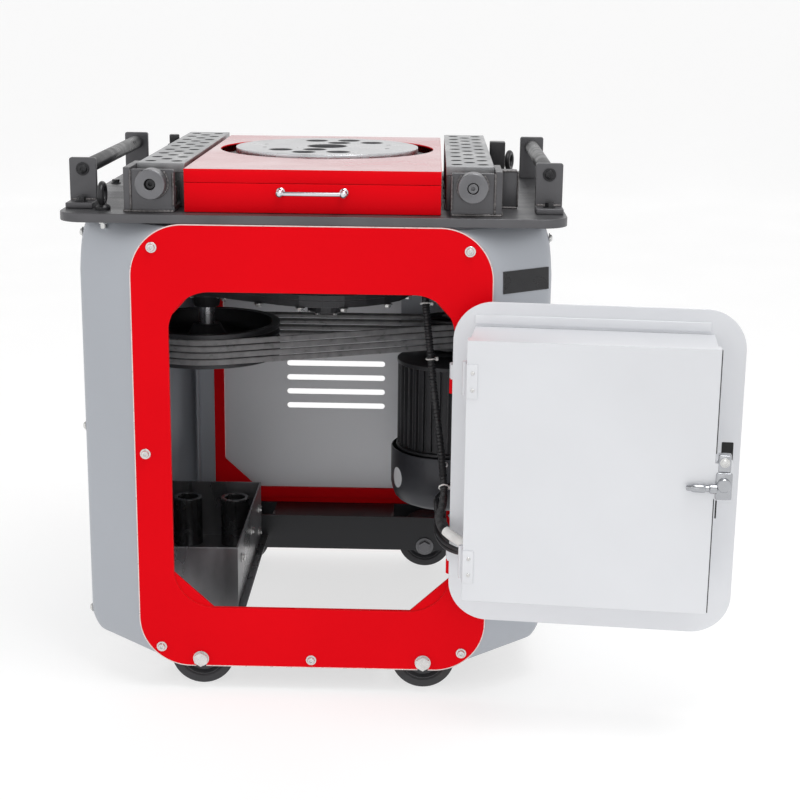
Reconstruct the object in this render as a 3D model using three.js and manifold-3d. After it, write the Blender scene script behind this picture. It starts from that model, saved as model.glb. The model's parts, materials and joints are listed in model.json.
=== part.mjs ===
// Rebar bender: steel table with a turning disc, perforated bars, guide rollers,
// a red cabinet on four wheels, belt drive, gearbox, motor and a door that
// carries the electric box. Millimetres, +Z up, front is -Y.
import * as THREE from 'three';
import Module from 'manifold-3d';
import { mergeVertices } from 'three/addons/utils/BufferGeometryUtils.js';

const wasm = await Module();
wasm.setup();

// ---- driving dimensions (table top at Z 0, table front edge at Y 0) ----
const LIFT = 843;              // table top above the floor
const SHIFT_X = -143.784, SHIFT_Y = -261.947; // moves the box's middle to the origin
const TABLE_W = 850, TABLE_D = 722, TABLE_T = 15, TABLE_R = 45;
const DISC_Y = 420, DISC_R = 171.4, DISC_TOP = 77, DISC_T = 15;
const PANEL_X = 304, PANEL_T = 3, PANEL_TOP = -15.3, PANEL_BOTTOM = -801, PANEL_R = 90;
const OPEN_X = 241, OPEN_TOP = -129, OPEN_BOTTOM = -690.5, OPEN_R = 70;
const SIDE_X = 406, SIDE_Y0 = 81, SIDE_Y1 = 641, SHEET = 2;
const WHEEL_R = 56.5, WHEEL_X = 196, WHEEL_Z = -786.5;
const BOX_X = 214.2, BOX_Y0 = 30, BOX_Y1 = 681, BOX_H = 73;
const BAR_X0 = 222.4, BAR_X1 = 303.6, BAR_Y0 = 98, BAR_Y1 = 722, BAR_H = 75.1;
const HINGE = [239, -13.5], DOOR_OPEN = 5.941 * Math.PI / 180;
const BOX_DEPTH = 130;
const PULLEY = [-234, 420], PULLEY_R = 142;
const MOTOR = [238, 512], MOTOR_PULLEY_R = 50;
const COUNTER = [-144.4, 499.8];
const BELT_Z = [-276.3, -288.8, -301.3, -313.8];
const GAP = 0.3;

// ---- helpers ----
const solid = g0 => {
  let g = g0.clone();
  g.deleteAttribute('normal'); g.deleteAttribute('uv');
  g = mergeVertices(g, 1e-4);
  const idx = Array.from(g.index.array), keep = [];
  for (let i = 0; i < idx.length; i += 3)
    if (idx[i] !== idx[i + 1] && idx[i + 1] !== idx[i + 2] && idx[i] !== idx[i + 2]) keep.push(idx[i], idx[i + 1], idx[i + 2]);
  const m = new wasm.Manifold(new wasm.Mesh({
    numProp: 3, vertProperties: new Float32Array(g.attributes.position.array), triVerts: new Uint32Array(keep) }));
  if (m.volume() > 0) return m;
  for (let i = 0; i < keep.length; i += 3) { const t = keep[i]; keep[i] = keep[i + 1]; keep[i + 1] = t; }
  return new wasm.Manifold(new wasm.Mesh({
    numProp: 3, vertProperties: new Float32Array(g.attributes.position.array), triVerts: new Uint32Array(keep) }));
};
const geom = m => {
  const k = m.getMesh(), g = new THREE.BufferGeometry();
  g.setAttribute('position', new THREE.BufferAttribute(new Float32Array(k.vertProperties), 3));
  g.setIndex(new THREE.BufferAttribute(new Uint32Array(k.triVerts), 1));
  g.computeVertexNormals();
  return g;
};
const box = (x0, x1, y0, y1, z0, z1) =>
  solid(new THREE.BoxGeometry(x1 - x0, y1 - y0, z1 - z0).translate((x0 + x1) / 2, (y0 + y1) / 2, (z0 + z1) / 2));
const join = (...ms) => ms.reduce((a, b) => a.add(b));
const cut = (a, ...ms) => ms.reduce((p, q) => p.subtract(q), a);
// prisms: the shape's plane is XZ, YZ or XY and it is pushed along the third axis
const alongY = (s, y0, y1, seg = 12) => solid(new THREE.ExtrudeGeometry(s, { depth: y1 - y0, bevelEnabled: false, curveSegments: seg })
  .rotateX(Math.PI / 2).translate(0, y1, 0));
const alongZ = (s, z0, z1, seg = 12) => solid(new THREE.ExtrudeGeometry(s, { depth: z1 - z0, bevelEnabled: false, curveSegments: seg })
  .translate(0, 0, z0));
const TO_X = new THREE.Matrix4().makeBasis(new THREE.Vector3(0, 1, 0), new THREE.Vector3(0, 0, 1), new THREE.Vector3(1, 0, 0));
const alongX = (s, x0, x1, seg = 12) => solid(new THREE.ExtrudeGeometry(s, { depth: x1 - x0, bevelEnabled: false, curveSegments: seg })
  .applyMatrix4(TO_X).translate(x0, 0, 0));
const poly = pts => new THREE.Shape(pts.map(p => new THREE.Vector2(p[0], p[1])));
const roundRect = (x0, x1, y0, y1, r) => {
  const s = new THREE.Shape();
  s.moveTo(x0 + r, y0); s.lineTo(x1 - r, y0); s.absarc(x1 - r, y0 + r, r, -Math.PI / 2, 0);
  s.lineTo(x1, y1 - r); s.absarc(x1 - r, y1 - r, r, 0, Math.PI / 2);
  s.lineTo(x0 + r, y1); s.absarc(x0 + r, y1 - r, r, Math.PI / 2, Math.PI);
  s.lineTo(x0, y0 + r); s.absarc(x0 + r, y0 + r, r, Math.PI, Math.PI * 1.5);
  return s;
};
const rod = (axis, r, a, b, u, v, seg = 24) => {
  const g = new THREE.CylinderGeometry(r, r, b - a, seg);
  if (axis === 'x') g.rotateZ(-Math.PI / 2).translate((a + b) / 2, u, v);
  if (axis === 'y') g.translate(u, (a + b) / 2, v);
  if (axis === 'z') g.rotateX(Math.PI / 2).translate(u, v, (a + b) / 2);
  return solid(g);
};
// closed profile [r, z] turned about Z at (x, y)
const turn = (pts, x, y, seg = 40) => solid(new THREE.LatheGeometry([...pts, pts[0]].map(p => new THREE.Vector2(p[0], p[1])), seg)
  .rotateX(Math.PI / 2).translate(x, y, 0));
const turnY = (pts, x, z, seg = 40) => solid(new THREE.LatheGeometry([...pts, pts[0]].map(p => new THREE.Vector2(p[0], p[1])), seg)
  .translate(x, 0, z));
const mirrorX = m => m.mirror([1, 0, 0]);
const flipY = m => m.mirror([0, 1, 0]).translate([0, TABLE_D, 0]);

// involute gear outline; phase is the angle of a tooth's middle
const gearShape = (m, z, phase, bore, flank, add = 0.85, thick = 0.42) => {
  const rp = m * z / 2, ra = rp + add * m, rf = rp - 1.2 * m, rb = rp * Math.cos(20 * Math.PI / 180);
  const inv = r => { const c = Math.min(1, rb / r), a = Math.acos(c); return Math.tan(a) - a; };
  const half = r => Math.PI / z * thick + inv(rp) - inv(Math.max(r, rb));
  const pts = [];
  for (let i = 0; i < z; i++) {
    const c = phase + i * 2 * Math.PI / z;
    const rs = [rf]; if (!flank) rs.push(ra); for (let k = 0; k < flank; k++) rs.push(Math.max(rb, rf + 0.4 * m) + (ra - Math.max(rb, rf + 0.4 * m)) * k / (flank - 1));
    for (const r of rs) pts.push([r, c - half(r)]);
    for (const r of rs.reverse()) pts.push([r, c + half(r)]);
  }
  const s = poly(pts.map(([r, a]) => [r * Math.cos(a), r * Math.sin(a)]));
  if (bore) { const h = new THREE.Path(); h.absarc(0, 0, bore, 0, Math.PI * 2, true); s.holes.push(h); }
  return s;
};

const group = new THREE.Group();
const put = (name, m, color, metalness = 0.3, roughness = 0.6) => {
  const mesh = new THREE.Mesh(geom(m.translate([SHIFT_X, SHIFT_Y, LIFT])), new THREE.MeshStandardMaterial({ color, metalness, roughness }));
  mesh.name = name;
  group.add(mesh);
};
const RED = 0xd80a1c, SILVER = 0xc9cbd2, ZINC = 0xd3d8dc, DARK = 0x34363c, STEEL = 0x9a9ea6, BLACK = 0x17181b, CHROME = 0xdfe3e8, IRON = 0x4a4d55;

// ---- table ----
const tableShape = roundRect(-TABLE_W / 2, TABLE_W / 2, 0, TABLE_D, TABLE_R);
put('table_plate', cut(alongZ(tableShape, -TABLE_T, 0, 6), rod('z', 60, -20, 5, 0, DISC_Y, 40),
  rod('z', 6.3, -20, 5, -355, 53, 12), rod('z', 6.3, -20, 5, 357, 695, 12)), DARK, 0.6, 0.5);

// ---- cabinet panels: plate with welded stop ring behind the opening ----
const opening = () => roundRect(-OPEN_X, OPEN_X, OPEN_BOTTOM, OPEN_TOP, OPEN_R);
const panelPlate = () => {
  let p = alongY(roundRect(-PANEL_X, PANEL_X, PANEL_BOTTOM, PANEL_TOP, PANEL_R), 0, PANEL_T, 6);
  p = cut(p, alongY(opening(), -1, 4, 6));
  for (const s of [-1, 1]) p = cut(p, rod('y', 8.8, -1, 4, s * WHEEL_X, WHEEL_Z, 12), box(s * WHEEL_X - 8.8, s * WHEEL_X + 8.8, -1, 4, -810, WHEEL_Z));
  const ring = alongY(roundRect(-263, 263, -712.5, -107, 48), PANEL_T - 0.01, 8.3, 4);
  const mouth = poly([[-241, -176], [-198, -129], [198, -129], [241, -176], [241, -627], [172, -690.5], [-172, -690.5], [-241, -627]]);
  return p.add(cut(ring, alongY(mouth, 0, 12)));
};
const lugs = join(...[-292.2, -612.2].map(z => join(
  rod('z', 6, z, z + 25.9, HINGE[0], HINGE[1], 10), box(240.5, 251, HINGE[1] - 2, 0.5, z, z + 25.9), box(241.2, 268, -3, 0.5, z, z + 25.9))));
put('front_panel', panelPlate().add(lugs), RED, 0.2, 0.4);
put('rear_panel', flipY(panelPlate()).add(lugs.mirror([0, 1, 0]).translate([0, TABLE_D, 0])), RED, 0.2, 0.4);

// ---- side covers: sheet ruled from the panel outline to the flat side ----
{
  const F = [], M = [], G = [];
  const a0 = 72, n = 6;
  for (let i = 0; i <= n; i++) { // top corner
    const t = (a0 - a0 * i / n) * Math.PI / 180;
    F.push([214 + 90 * Math.cos(t), -105.3 + 90 * Math.sin(t)]);
    G.push([214 + 50 * Math.cos(t), -105.3 + 50 * Math.sin(t)]);
  }
  M.push([389, -16.5], [395.2, -30], [399.2, -44], [401.5, -58], [403.6, -75], [404.9, -92], [406, -108]);
  F.push([304, -400]); G.push([264, -400]); M.push([406, -400]);
  const b1 = 51, k = 4;
  for (let i = 0; i <= k; i++) {
    const t = b1 * i / k * Math.PI / 180, u = 37.7 * i / k * Math.PI / 180;
    F.push([214 + 90 * Math.cos(t), -711 - 90 * Math.sin(t)]);
    G.push([214 + 50 * Math.cos(t), -711 - 50 * Math.sin(t)]);
    M.push([343 + 63 * Math.cos(u), -725 - 63 * Math.sin(u)]);
  }
  const T = F.length - 1;
  const cols = t => [[G[t][0], 3.3, G[t][1]], [F[t][0], 3.3, F[t][1]], [M[t][0], SIDE_Y0, M[t][1]],
    [M[t][0], SIDE_Y1, M[t][1]], [F[t][0], TABLE_D - 3.3, F[t][1]], [G[t][0], TABLE_D - 3.3, G[t][1]]];
  const grid = []; for (let t = 0; t <= T; t++) grid.push(cols(t).map(p => new THREE.Vector3(...p)));
  const normal = (t, s) => {
    const a = grid[Math.max(t - 1, 0)][s], b = grid[Math.min(t + 1, T)][s], c = grid[t][Math.max(s - 1, 0)], d = grid[t][Math.min(s + 1, 5)];
    // mean of the two face normals either side of the bend keeps the sheet's thickness even
    const down = b.clone().sub(a).normalize(), out = new THREE.Vector3();
    if (s > 0) out.add(grid[t][s].clone().sub(grid[t][s - 1]).cross(down).normalize());
    if (s < 5) out.add(grid[t][s + 1].clone().sub(grid[t][s]).cross(down).normalize());
    return out.normalize();
  };
  const g = new THREE.BoxGeometry(1, 1, 1, 5, T, 1), pos = g.attributes.position;
  for (let i = 0; i < pos.count; i++) {
    const s = Math.round((pos.getX(i) + 0.5) * 5), t = Math.round((0.5 - pos.getY(i)) * T), w = pos.getZ(i);
    const q = grid[t][s].clone();
    if (w < 0) {
      const nn = normal(t, s), e = grid[t][Math.min(s + 1, 5)].clone().sub(grid[t][Math.max(s, 0)]);
      q.addScaledVector(nn, nn.x * (s === 2 || s === 3 ? 1 : 0) > 0 || (s < 2 && nn.y < 0) || (s > 3 && nn.y > 0) ? -SHEET : SHEET);
    }
    pos.setXYZ(i, q.x, q.y, q.z);
  }
  const right = solid(g);
  put('side_cover_right', right, SILVER, 0.5, 0.4);
  put('side_cover_left', mirrorX(right), SILVER, 0.5, 0.4);
}

// ---- lower cross beams: open channels that carry the wheels ----
{
  const beam = (axle) => {
    let b = join(box(-242, 242, 8.6, 13.6, -796, -723), box(-242, 242, 99, 104, -796, -723), box(-128, 128, 8.6, 104, -728, -723));
    for (const s of [-1, 1]) b = cut(b, rod('y', 8.3, 0, 120, s * WHEEL_X, WHEEL_Z, 16));
    return b;
  };
  put('front_beam', beam(), IRON, 0.5, 0.6);
  put('rear_beam', flipY(beam()), IRON, 0.5, 0.6);
  // wheels: web, rim and tread turned about the axle
  const wheel = turnY([[8.35, 22], [20, 22], [22, 32], [42, 32], [44, 22], [WHEEL_R - 2, 22], [WHEEL_R, 25], [WHEEL_R, 69], [WHEEL_R - 2, 72], [8.35, 72]], 0, 0, 22);
  const hex = (r, y0, y1) => solid(new THREE.CylinderGeometry(r, r, y1 - y0, 6).translate(0, (y0 + y1) / 2, 0));
  const bolt = join(hex(13, -8, -0.3), rod('y', 8, -0.5, 112, 0, 0, 16), hex(12.5, 104.3, 114));
  for (const [tag, s] of [['left', -1], ['right', 1]]) {
    put('wheel_front_' + tag, wheel.translate([s * WHEEL_X, 0, WHEEL_Z]), BLACK, 0.1, 0.8);
    put('axle_bolt_front_' + tag, bolt.translate([s * WHEEL_X, 0, WHEEL_Z]), STEEL, 0.8, 0.4);
    put('wheel_rear_' + tag, flipY(wheel.translate([s * WHEEL_X, 0, WHEEL_Z])), BLACK, 0.1, 0.8);
    put('axle_bolt_rear_' + tag, flipY(bolt.translate([s * WHEEL_X, 0, WHEEL_Z])), STEEL, 0.8, 0.4);
  }
}

// ---- corner posts: angle sections ----
{
  const post = alongZ(poly([[262, 9], [296, 9], [296, 47], [292, 47], [292, 13], [262, 13]]), -722, -70);
  put('corner_post_front_right', post, SILVER, 0.5, 0.4);
  put('corner_post_front_left', mirrorX(post), SILVER, 0.5, 0.4);
  put('corner_post_rear_right', flipY(post), SILVER, 0.5, 0.4);
  put('corner_post_rear_left', mirrorX(flipY(post)), SILVER, 0.5, 0.4);
}

// ---- top cover with its tool drawer ----
put('top_cover', cut(box(-BOX_X, BOX_X, BOX_Y0, BOX_Y1, GAP, BOX_H), box(-BOX_X + 3, BOX_X - 3, BOX_Y0 + 3, BOX_Y1 - 3, -1, BOX_H - 3),
  box(-BOX_X - 1, BOX_X + 1, BOX_Y0 - 1, BOX_Y0 + 3, -1, 50.3), rod('z', 200, 60, 80, 0, DISC_Y, 64)), RED, 0.2, 0.4);
put('drawer_tray', join(box(-BOX_X, BOX_X, BOX_Y0, BOX_Y0 + 2.5, GAP + 0.4, 49.8),
  cut(box(-195, 195, BOX_Y0 + 2.4, 212, 9, 48), box(-193, 193, BOX_Y0 + 4.5, 210, 11, 55))), RED, 0.2, 0.4);
{
  const path = new THREE.CatmullRomCurve3([[-52.7, 28, 36], [-52.7, 17, 36], [-50.5, 10, 36], [-44, 7, 36], [0, 6, 36], [44, 7, 36], [50.5, 10, 36], [52.7, 17, 36], [52.7, 28, 36]].map(p => new THREE.Vector3(...p)));
  const ring = new THREE.Shape(); ring.absarc(0, 0, 3.8, 0, Math.PI * 2);
  const bow = solid(new THREE.ExtrudeGeometry(ring, { steps: 18, extrudePath: path, bevelEnabled: false, curveSegments: 4 }));
  const foot = x => turnY([[0.001, 29.7], [7.5, 29.7], [7.5, 27], [5.5, 23.5], [0.001, 23.5]], x, 36, 12);
  put('drawer_handle', join(bow, foot(-52.7), foot(52.7)), CHROME, 1, 0.15);
}

// ---- turning disc, main shaft, gears ----
{
  const holes = [rod('z', 36, 60, 80, 0, DISC_Y, 28)];
  for (const s of [-1, 1]) for (const a of [-1, 1]) for (const b of [-1, 1])
    holes.push(rod('z', 20, 60, 80, s * 27 + a * 31.25 + b * 23, DISC_Y + s * 94 + a * 4.25 - b * 21.75, 12));
  put('turntable_disc', cut(rod('z', DISC_R, DISC_TOP - DISC_T, DISC_TOP, 0, DISC_Y, 56), ...holes), STEEL, 0.9, 0.35);
  put('main_shaft', turn([[0.001, -236], [30, -236], [30, -30], [36, -26], [36, 24], [48, 34], [48, 61.7], [34, 61.7], [34, 20], [0.001, 20]], 0, DISC_Y, 28), STEEL, 0.9, 0.35);
  const beta = Math.atan2(DISC_Y - COUNTER[1], -COUNTER[0]);
  put('output_gear', alongZ(gearShape(5, 54, beta + Math.PI + Math.PI / 54, 30.3, 0), -140, -95).translate([0, DISC_Y, 0]), STEEL, 0.9, 0.4);
  const alpha = Math.atan2(COUNTER[1] - PULLEY[1], COUNTER[0] - PULLEY[0]);
  const big = alongZ(gearShape(3, 66, alpha + Math.PI + Math.PI / 66, 0, 0), -182, -155);
  const small = alongZ(gearShape(5, 12, beta, 0, 3), -148, -90);
  put('countershaft', join(big, small, rod('z', 17, -189.6, -26, 0, 0, 20)).translate([COUNTER[0], COUNTER[1], 0]), STEEL, 0.9, 0.4);
  const inPinion = alongZ(gearShape(3, 14, alpha, 0, 3), -187, -150);
  put('input_shaft', join(inPinion, rod('z', 15, -345, -140, 0, 0, 24), rod('z', 13, -151, -30, 0, 0, 20)).translate([PULLEY[0], PULLEY[1], 0]), STEEL, 0.9, 0.4);
}

// ---- gearbox: open-bottomed housing and lower cover with the main bearing boss ----
{
  const hull = grow => {
    const circles = [[0, DISC_Y, 142 + grow], [COUNTER[0], COUNTER[1], 104 + grow], [PULLEY[0], PULLEY[1], 30 + grow]];
    const pts = [];
    for (const [x, y, r] of circles) for (let i = 0; i < 24; i++) pts.push([x + r * Math.cos(i * Math.PI / 12), y + r * Math.sin(i * Math.PI / 12)]);
    pts.sort((p, q) => p[0] - q[0] || p[1] - q[1]);
    const cross = (o, a, b) => (a[0] - o[0]) * (b[1] - o[1]) - (a[1] - o[1]) * (b[0] - o[0]);
    const half = list => { const h = []; for (const p of list) { while (h.length > 1 && cross(h[h.length - 2], h[h.length - 1], p) <= 1e-6) h.pop(); h.push(p); } h.pop(); return h; };
    return poly([...half(pts), ...half([...pts].reverse())]);
  };
  put('gearbox_housing', join(
    cut(alongZ(hull(14), -190, -15.3), alongZ(hull(4), -195, -25), rod('z', 36.4, -30, 0, 0, DISC_Y, 32)),
    cut(alongZ(hull(20), -190, -180), alongZ(hull(4), -195, -170))), IRON, 0.4, 0.7);
  put('gearbox_cover', cut(join(alongZ(hull(20), -203, -190.3), turn([[0.001, -241], [30, -241], [38, -236], [40, -202], [0.001, -202]], 0, DISC_Y, 24),
    turn([[0.001, -202], [42, -202], [42, -209], [30, -211], [24, -232], [0.001, -232]], PULLEY[0], PULLEY[1], 20)),
    rod('z', 30.4, -236.4, -180, 0, DISC_Y, 32), rod('z', 15.4, -240, -180, PULLEY[0], PULLEY[1], 24)), IRON, 0.4, 0.7);
}

// ---- grooved pulleys and four belts ----
const rim = (R, top, bottom, inner) => {
  const pts = [[R, top]];
  for (const z of BELT_Z) pts.push([R, z + 5.6], [R - 11, z + 2.03], [R - 11, z - 2.03], [R, z - 5.6]);
  pts.push([R, bottom], ...inner);
  return pts;
};
put('big_pulley', turn(rim(PULLEY_R, -262, -327, [[124, -327], [30, -327], [30, -342], [15.3, -342], [15.3, -268], [22, -268], [27, -316], [124, -316], [126, -262]]), PULLEY[0], PULLEY[1], 32), IRON, 0.7, 0.5);
put('motor_pulley', join(turn(rim(MOTOR_PULLEY_R, -266, -326, [[13, -326], [13, -266]]), MOTOR[0], MOTOR[1], 22),
  rod('z', 14, -412, -262.5, MOTOR[0], MOTOR[1], 20)), IRON, 0.7, 0.5);
{
  // belt centre line: open loop round both pulleys, four-cornered section
  const dx = MOTOR[0] - PULLEY[0], dy = MOTOR[1] - PULLEY[1], dist = Math.hypot(dx, dy), base = Math.atan2(dy, dx);
  const tilt = Math.acos((PULLEY_R - MOTOR_PULLEY_R) / dist), N1 = 26, N2 = 10, path = [];
  for (let i = 0; i <= N1; i++) { const a = base + tilt + (2 * Math.PI - 2 * tilt) * i / N1; path.push([...PULLEY, PULLEY_R, a]); }
  for (let i = 0; i <= N2; i++) { const a = base - tilt + 2 * tilt * i / N2; path.push([...MOTOR, MOTOR_PULLEY_R, a]); }
  const n = path.length;
  BELT_Z.forEach((z, j) => {
    const g = new THREE.TorusGeometry(10, 2, 4, n), pos = g.attributes.position;
    const sec = [[-0.4, 4.75], [-8.2, 2.2], [-8.2, -2.2], [-0.4, -4.75]];
    for (let r = 0; r <= 4; r++) for (let t = 0; t <= n; t++) {
      const [cx, cy, R, a] = path[t % n], [dr, dz] = sec[r % 4];
      pos.setXYZ(r * (n + 1) + t, cx + (R + dr) * Math.cos(a), cy + (R + dr) * Math.sin(a), z + dz);
    }
    put('v_belt_' + (j + 1), solid(g), BLACK, 0, 0.8);
  });
}

// ---- motor, fan cowl, bracket ----
{
  const fins = [], nf = 24;
  for (let i = 0; i < nf; i++) { const a = i * 2 * Math.PI / nf, d = Math.PI / nf; for (const [r, o] of [[93, -0.95], [101, -0.3], [101, 0.3], [93, 0.95]]) fins.push([r * Math.cos(a + o * d), r * Math.sin(a + o * d)]); }
  const [mx, my] = MOTOR;
  let body = join(alongZ(poly(fins), -526, -356).translate([mx, my, 0]),
    turn([[0.001, -335], [32, -335], [40, -341], [98, -343], [103, -347], [103, -358], [0.001, -358]], mx, my, 28),
    turn([[0.001, -524], [103, -524], [103, -529.7], [0.001, -529.7]], mx, my, 28),
    box(335, 374, 470, 554, -470, -392), box(mx - 60, mx + 60, my + 85, 631.7, -520, -370));
  put('motor_body', cut(body, rod('z', 14.4, -420, -300, mx, my, 24)), IRON, 0.4, 0.6);
  put('motor_fan_cowl', turn([[106, -530], [113, -532], [113, -606], [104, -632], [82, -645], [22, -648], [22, -645], [80, -642], [101, -630], [110, -606], [110, -534], [106, -534]], mx, my, 24), DARK, 0.2, 0.5);
  put('motor_bracket', cut(join(box(140, 336, 632, 642, -560, -15.3), box(140, 336, 600, 642, -25, -15.3)), box(190, 286, 625, 650, -340, -120)), SILVER, 0.5, 0.5);
}

// ---- perforated bars, end brackets, adjusting screws ----
{
  let bar = cut(box(BAR_X0, BAR_X1, BAR_Y0, BAR_Y1, GAP, BAR_H), box(BAR_X0 + 9, BAR_X1 - 9, BAR_Y0 - 1, BAR_Y1 + 1, -1, BAR_H - 16));
  const pins = [];
  for (let i = 0; i < 9; i++) { const y = 131 + i * 69.5; pins.push(rod('z', 9.5, 50, 80, 240.5, y, 8), rod('z', 9.5, 50, 80, 285.5, y, 8), rod('z', 9.5, 50, 80, 263, y + 34.7 * (i < 8 ? 1 : 0) - (i < 8 ? 0 : -26), 8)); }
  bar = cut(bar, ...pins);
  put('bar_right', bar, ZINC, 0.9, 0.35);
  put('bar_left', mirrorX(bar), ZINC, 0.9, 0.35);
  const bracket = cut(join(box(230, 303.2, 30, 40, GAP, 71), box(230, 315, 30, 97, GAP, 9), box(304, 315, 30, 168, GAP, 74),
    rod('y', 25, 0, 31, 266, 49, 22)), rod('y', 9.4, -1, 45, 266, 49, 20));
  put('bar_bracket_right', bracket, DARK, 0.5, 0.5);
  put('bar_bracket_left', mirrorX(bracket), DARK, 0.5, 0.5);
  const screw = turnY([[0.001, 0.5], [8, 0.5], [9, 1.5], [9, 92], [7, 97], [0.001, 97]], 266, 49, 20);
  put('adjusting_screw_right', screw, STEEL, 0.9, 0.4);
  put('adjusting_screw_left', mirrorX(screw), STEEL, 0.9, 0.4);
}

// ---- guide rollers ----
{
  const up = new THREE.Shape();
  up.moveTo(374, GAP); up.lineTo(420, GAP); up.lineTo(420, 79); up.lineTo(417, 82); up.lineTo(377, 82); up.lineTo(374, 79); up.lineTo(374, GAP);
  const bracket = cut(join(box(374, 420, 60, 110, GAP, 10), alongY(up, 100, 110, 8)), rod('y', 8.3, 90, 120, 397, 63, 18));
  put('roller_bracket_front_right', bracket, DARK, 0.5, 0.5);
  put('roller_bracket_front_left', mirrorX(bracket), DARK, 0.5, 0.5);
  put('roller_bracket_rear_right', flipY(bracket), DARK, 0.5, 0.5);
  put('roller_bracket_rear_left', mirrorX(flipY(bracket)), DARK, 0.5, 0.5);
  const roller = turnY([[0.001, 97], [8, 97], [8, 110.3], [13, 110.6], [13, 611.4], [8, 611.7], [8, 625], [0.001, 625]], 397, 63, 24);
  put('guide_roller_right', roller, BLACK, 0.5, 0.4);
  put('guide_roller_left', mirrorX(roller), BLACK, 0.5, 0.4);
}

// ---- lifting eyes ----
{
  const eye = side => {
    const g = new THREE.TorusGeometry(16.2, 5.5, 6, 14); g.rotateY(Math.PI / 2); if (!side) g.rotateZ(-0.31);
    return join(solid(g.translate(0, 0, 26.5)), rod('z', 13, GAP, 9, 0, 0, 14), rod('z', 6, -14.9, 2, 0, 0, 12));
  };
  put('lifting_eye_front', eye(true).translate([-355, 53, 0]), STEEL, 0.7, 0.4);
  put('lifting_eye_rear', eye(false).translate([357, 695, 0]), STEEL, 0.7, 0.4);
}

// ---- tool bin and two loose sleeves ----
put('tool_bin', cut(box(-386, -153, 200, 617.6, -770, -650), box(-383, -156, 203, 614.6, -767, -600)), SILVER, 0.5, 0.5);
for (const [i, x] of [[1, -300], [2, -202]])
  put('sleeve_' + i, turn([[21, -766.7], [29.5, -766.7], [29.5, -665], [21, -665]], x, 560, 24), BLACK, 0.6, 0.4);

// ---- door with its electric box, lid and lock, shown swung open ----
{
  const swing = m => m.rotate([0, 0, -DOOR_OPEN * 180 / Math.PI]).translate([HINGE[0], HINGE[1], 0]);
  const N = (n0, n1) => [-n1, -n0]; // depth towards the inside of the door is local -Y
  const leafShape = roundRect(0.6, 477.5, -688, -131.5, 67);
  const knuckles = join(...[-266, -586].map(z => join(rod('z', 6, z, z + 26, 0, 0, 10), box(-2.8, 2.8, -13.4, 0, z, z + 26), box(-2.8, 30, -13.4, -10.4, z, z + 26))));
  put('door_panel', swing(join(alongY(leafShape, ...N(13.2, 16.2), 8), knuckles)), SILVER, 0.5, 0.4);
  const s0 = 37.3, s1 = 425.2, z0 = -601.8, z1 = -172.6, bf = 13.5 + 3 + BOX_DEPTH; // front face depth of the lid
  put('electric_box', swing(cut(box(s0, s1, ...N(16.5, bf - 3), z0, z1), box(s0 + 2, s1 - 2, ...N(18.5, bf + 5), z0 + 2, z1 - 2))), SILVER, 0.4, 0.4);
  put('box_lid', swing(join(cut(box(34.3, 428.2, ...N(bf - 25, bf), -604.8, -169.6), box(36.3, 426.2, ...N(bf - 30, bf - 2), -602.8, -171.6)),
    box(428, 456, ...N(bf - 26, bf), -410, -352))), SILVER, 0.4, 0.4);
  const key = join(rod('y', 11, ...N(bf + 0.3, bf + 9), 443, -385, 20), rod('x', 6.5, 398, 436, -(bf + 7), -391.5, 14), rod('x', 4.5, 387, 399, -(bf + 7), -391.5, 12));
  put('lid_lock', swing(key), CHROME, 1, 0.2);
}

// ---- rear door with louvres, closed ----
{
  let leaf = alongY(roundRect(-238.4, 238.4, -688, -131.5, 67), 719.3, 722.3, 8);
  for (const z of [-413, -444, -475, -506]) leaf = cut(leaf, box(-105, 105, 715, 726, z - 6, z + 6));
  const k = join(...[-266, -586].map(z => join(rod('z', 6, z, z + 26, 239, 735.5, 10), box(236.2, 241.8, 722.2, 735.5, z, z + 26), box(209, 241.8, 722.2, 725.4, z, z + 26))));
  put('rear_door', leaf.add(k), RED, 0.2, 0.4);
}

export default group;
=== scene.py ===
import bpy, bmesh, json, math, random
from mathutils import Matrix, Vector


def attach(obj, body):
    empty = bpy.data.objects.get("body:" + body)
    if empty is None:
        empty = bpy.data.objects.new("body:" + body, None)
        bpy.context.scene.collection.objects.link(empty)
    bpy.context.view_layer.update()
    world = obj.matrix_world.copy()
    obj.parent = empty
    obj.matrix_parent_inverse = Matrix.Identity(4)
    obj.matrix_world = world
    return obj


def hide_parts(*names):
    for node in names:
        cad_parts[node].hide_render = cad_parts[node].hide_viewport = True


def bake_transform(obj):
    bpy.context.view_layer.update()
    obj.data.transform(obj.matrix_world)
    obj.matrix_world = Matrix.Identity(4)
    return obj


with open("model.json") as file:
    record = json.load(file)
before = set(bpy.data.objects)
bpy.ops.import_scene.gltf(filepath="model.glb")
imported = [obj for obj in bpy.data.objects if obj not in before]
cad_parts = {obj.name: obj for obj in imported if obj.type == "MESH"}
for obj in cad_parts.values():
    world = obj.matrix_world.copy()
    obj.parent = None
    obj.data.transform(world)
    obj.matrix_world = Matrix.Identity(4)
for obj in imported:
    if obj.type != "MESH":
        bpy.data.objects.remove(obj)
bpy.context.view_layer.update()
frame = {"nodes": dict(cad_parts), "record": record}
nodes = frame["nodes"]
rnd = random.Random(7)

# model millimetres (table top Z 0, table front edge Y 0) to the row frame in metres
BASE = Matrix.Scale(0.001, 4) @ Matrix.Translation((-143.784, -261.947, 843.0))
SWING = math.radians(5.941)
HINGE = (239.0, -13.5)
DOOR = BASE @ Matrix.Translation((HINGE[0], HINGE[1], 0)) @ Matrix.Rotation(-SWING, 4, "Z")
FRONT_FACE = 146.5  # depth of the box lid's face from the hinge line; inside of the door is local -Y

# ---------------- camera ----------------
def P(x, y, z):
    return BASE @ Vector((x, y, z))

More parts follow.
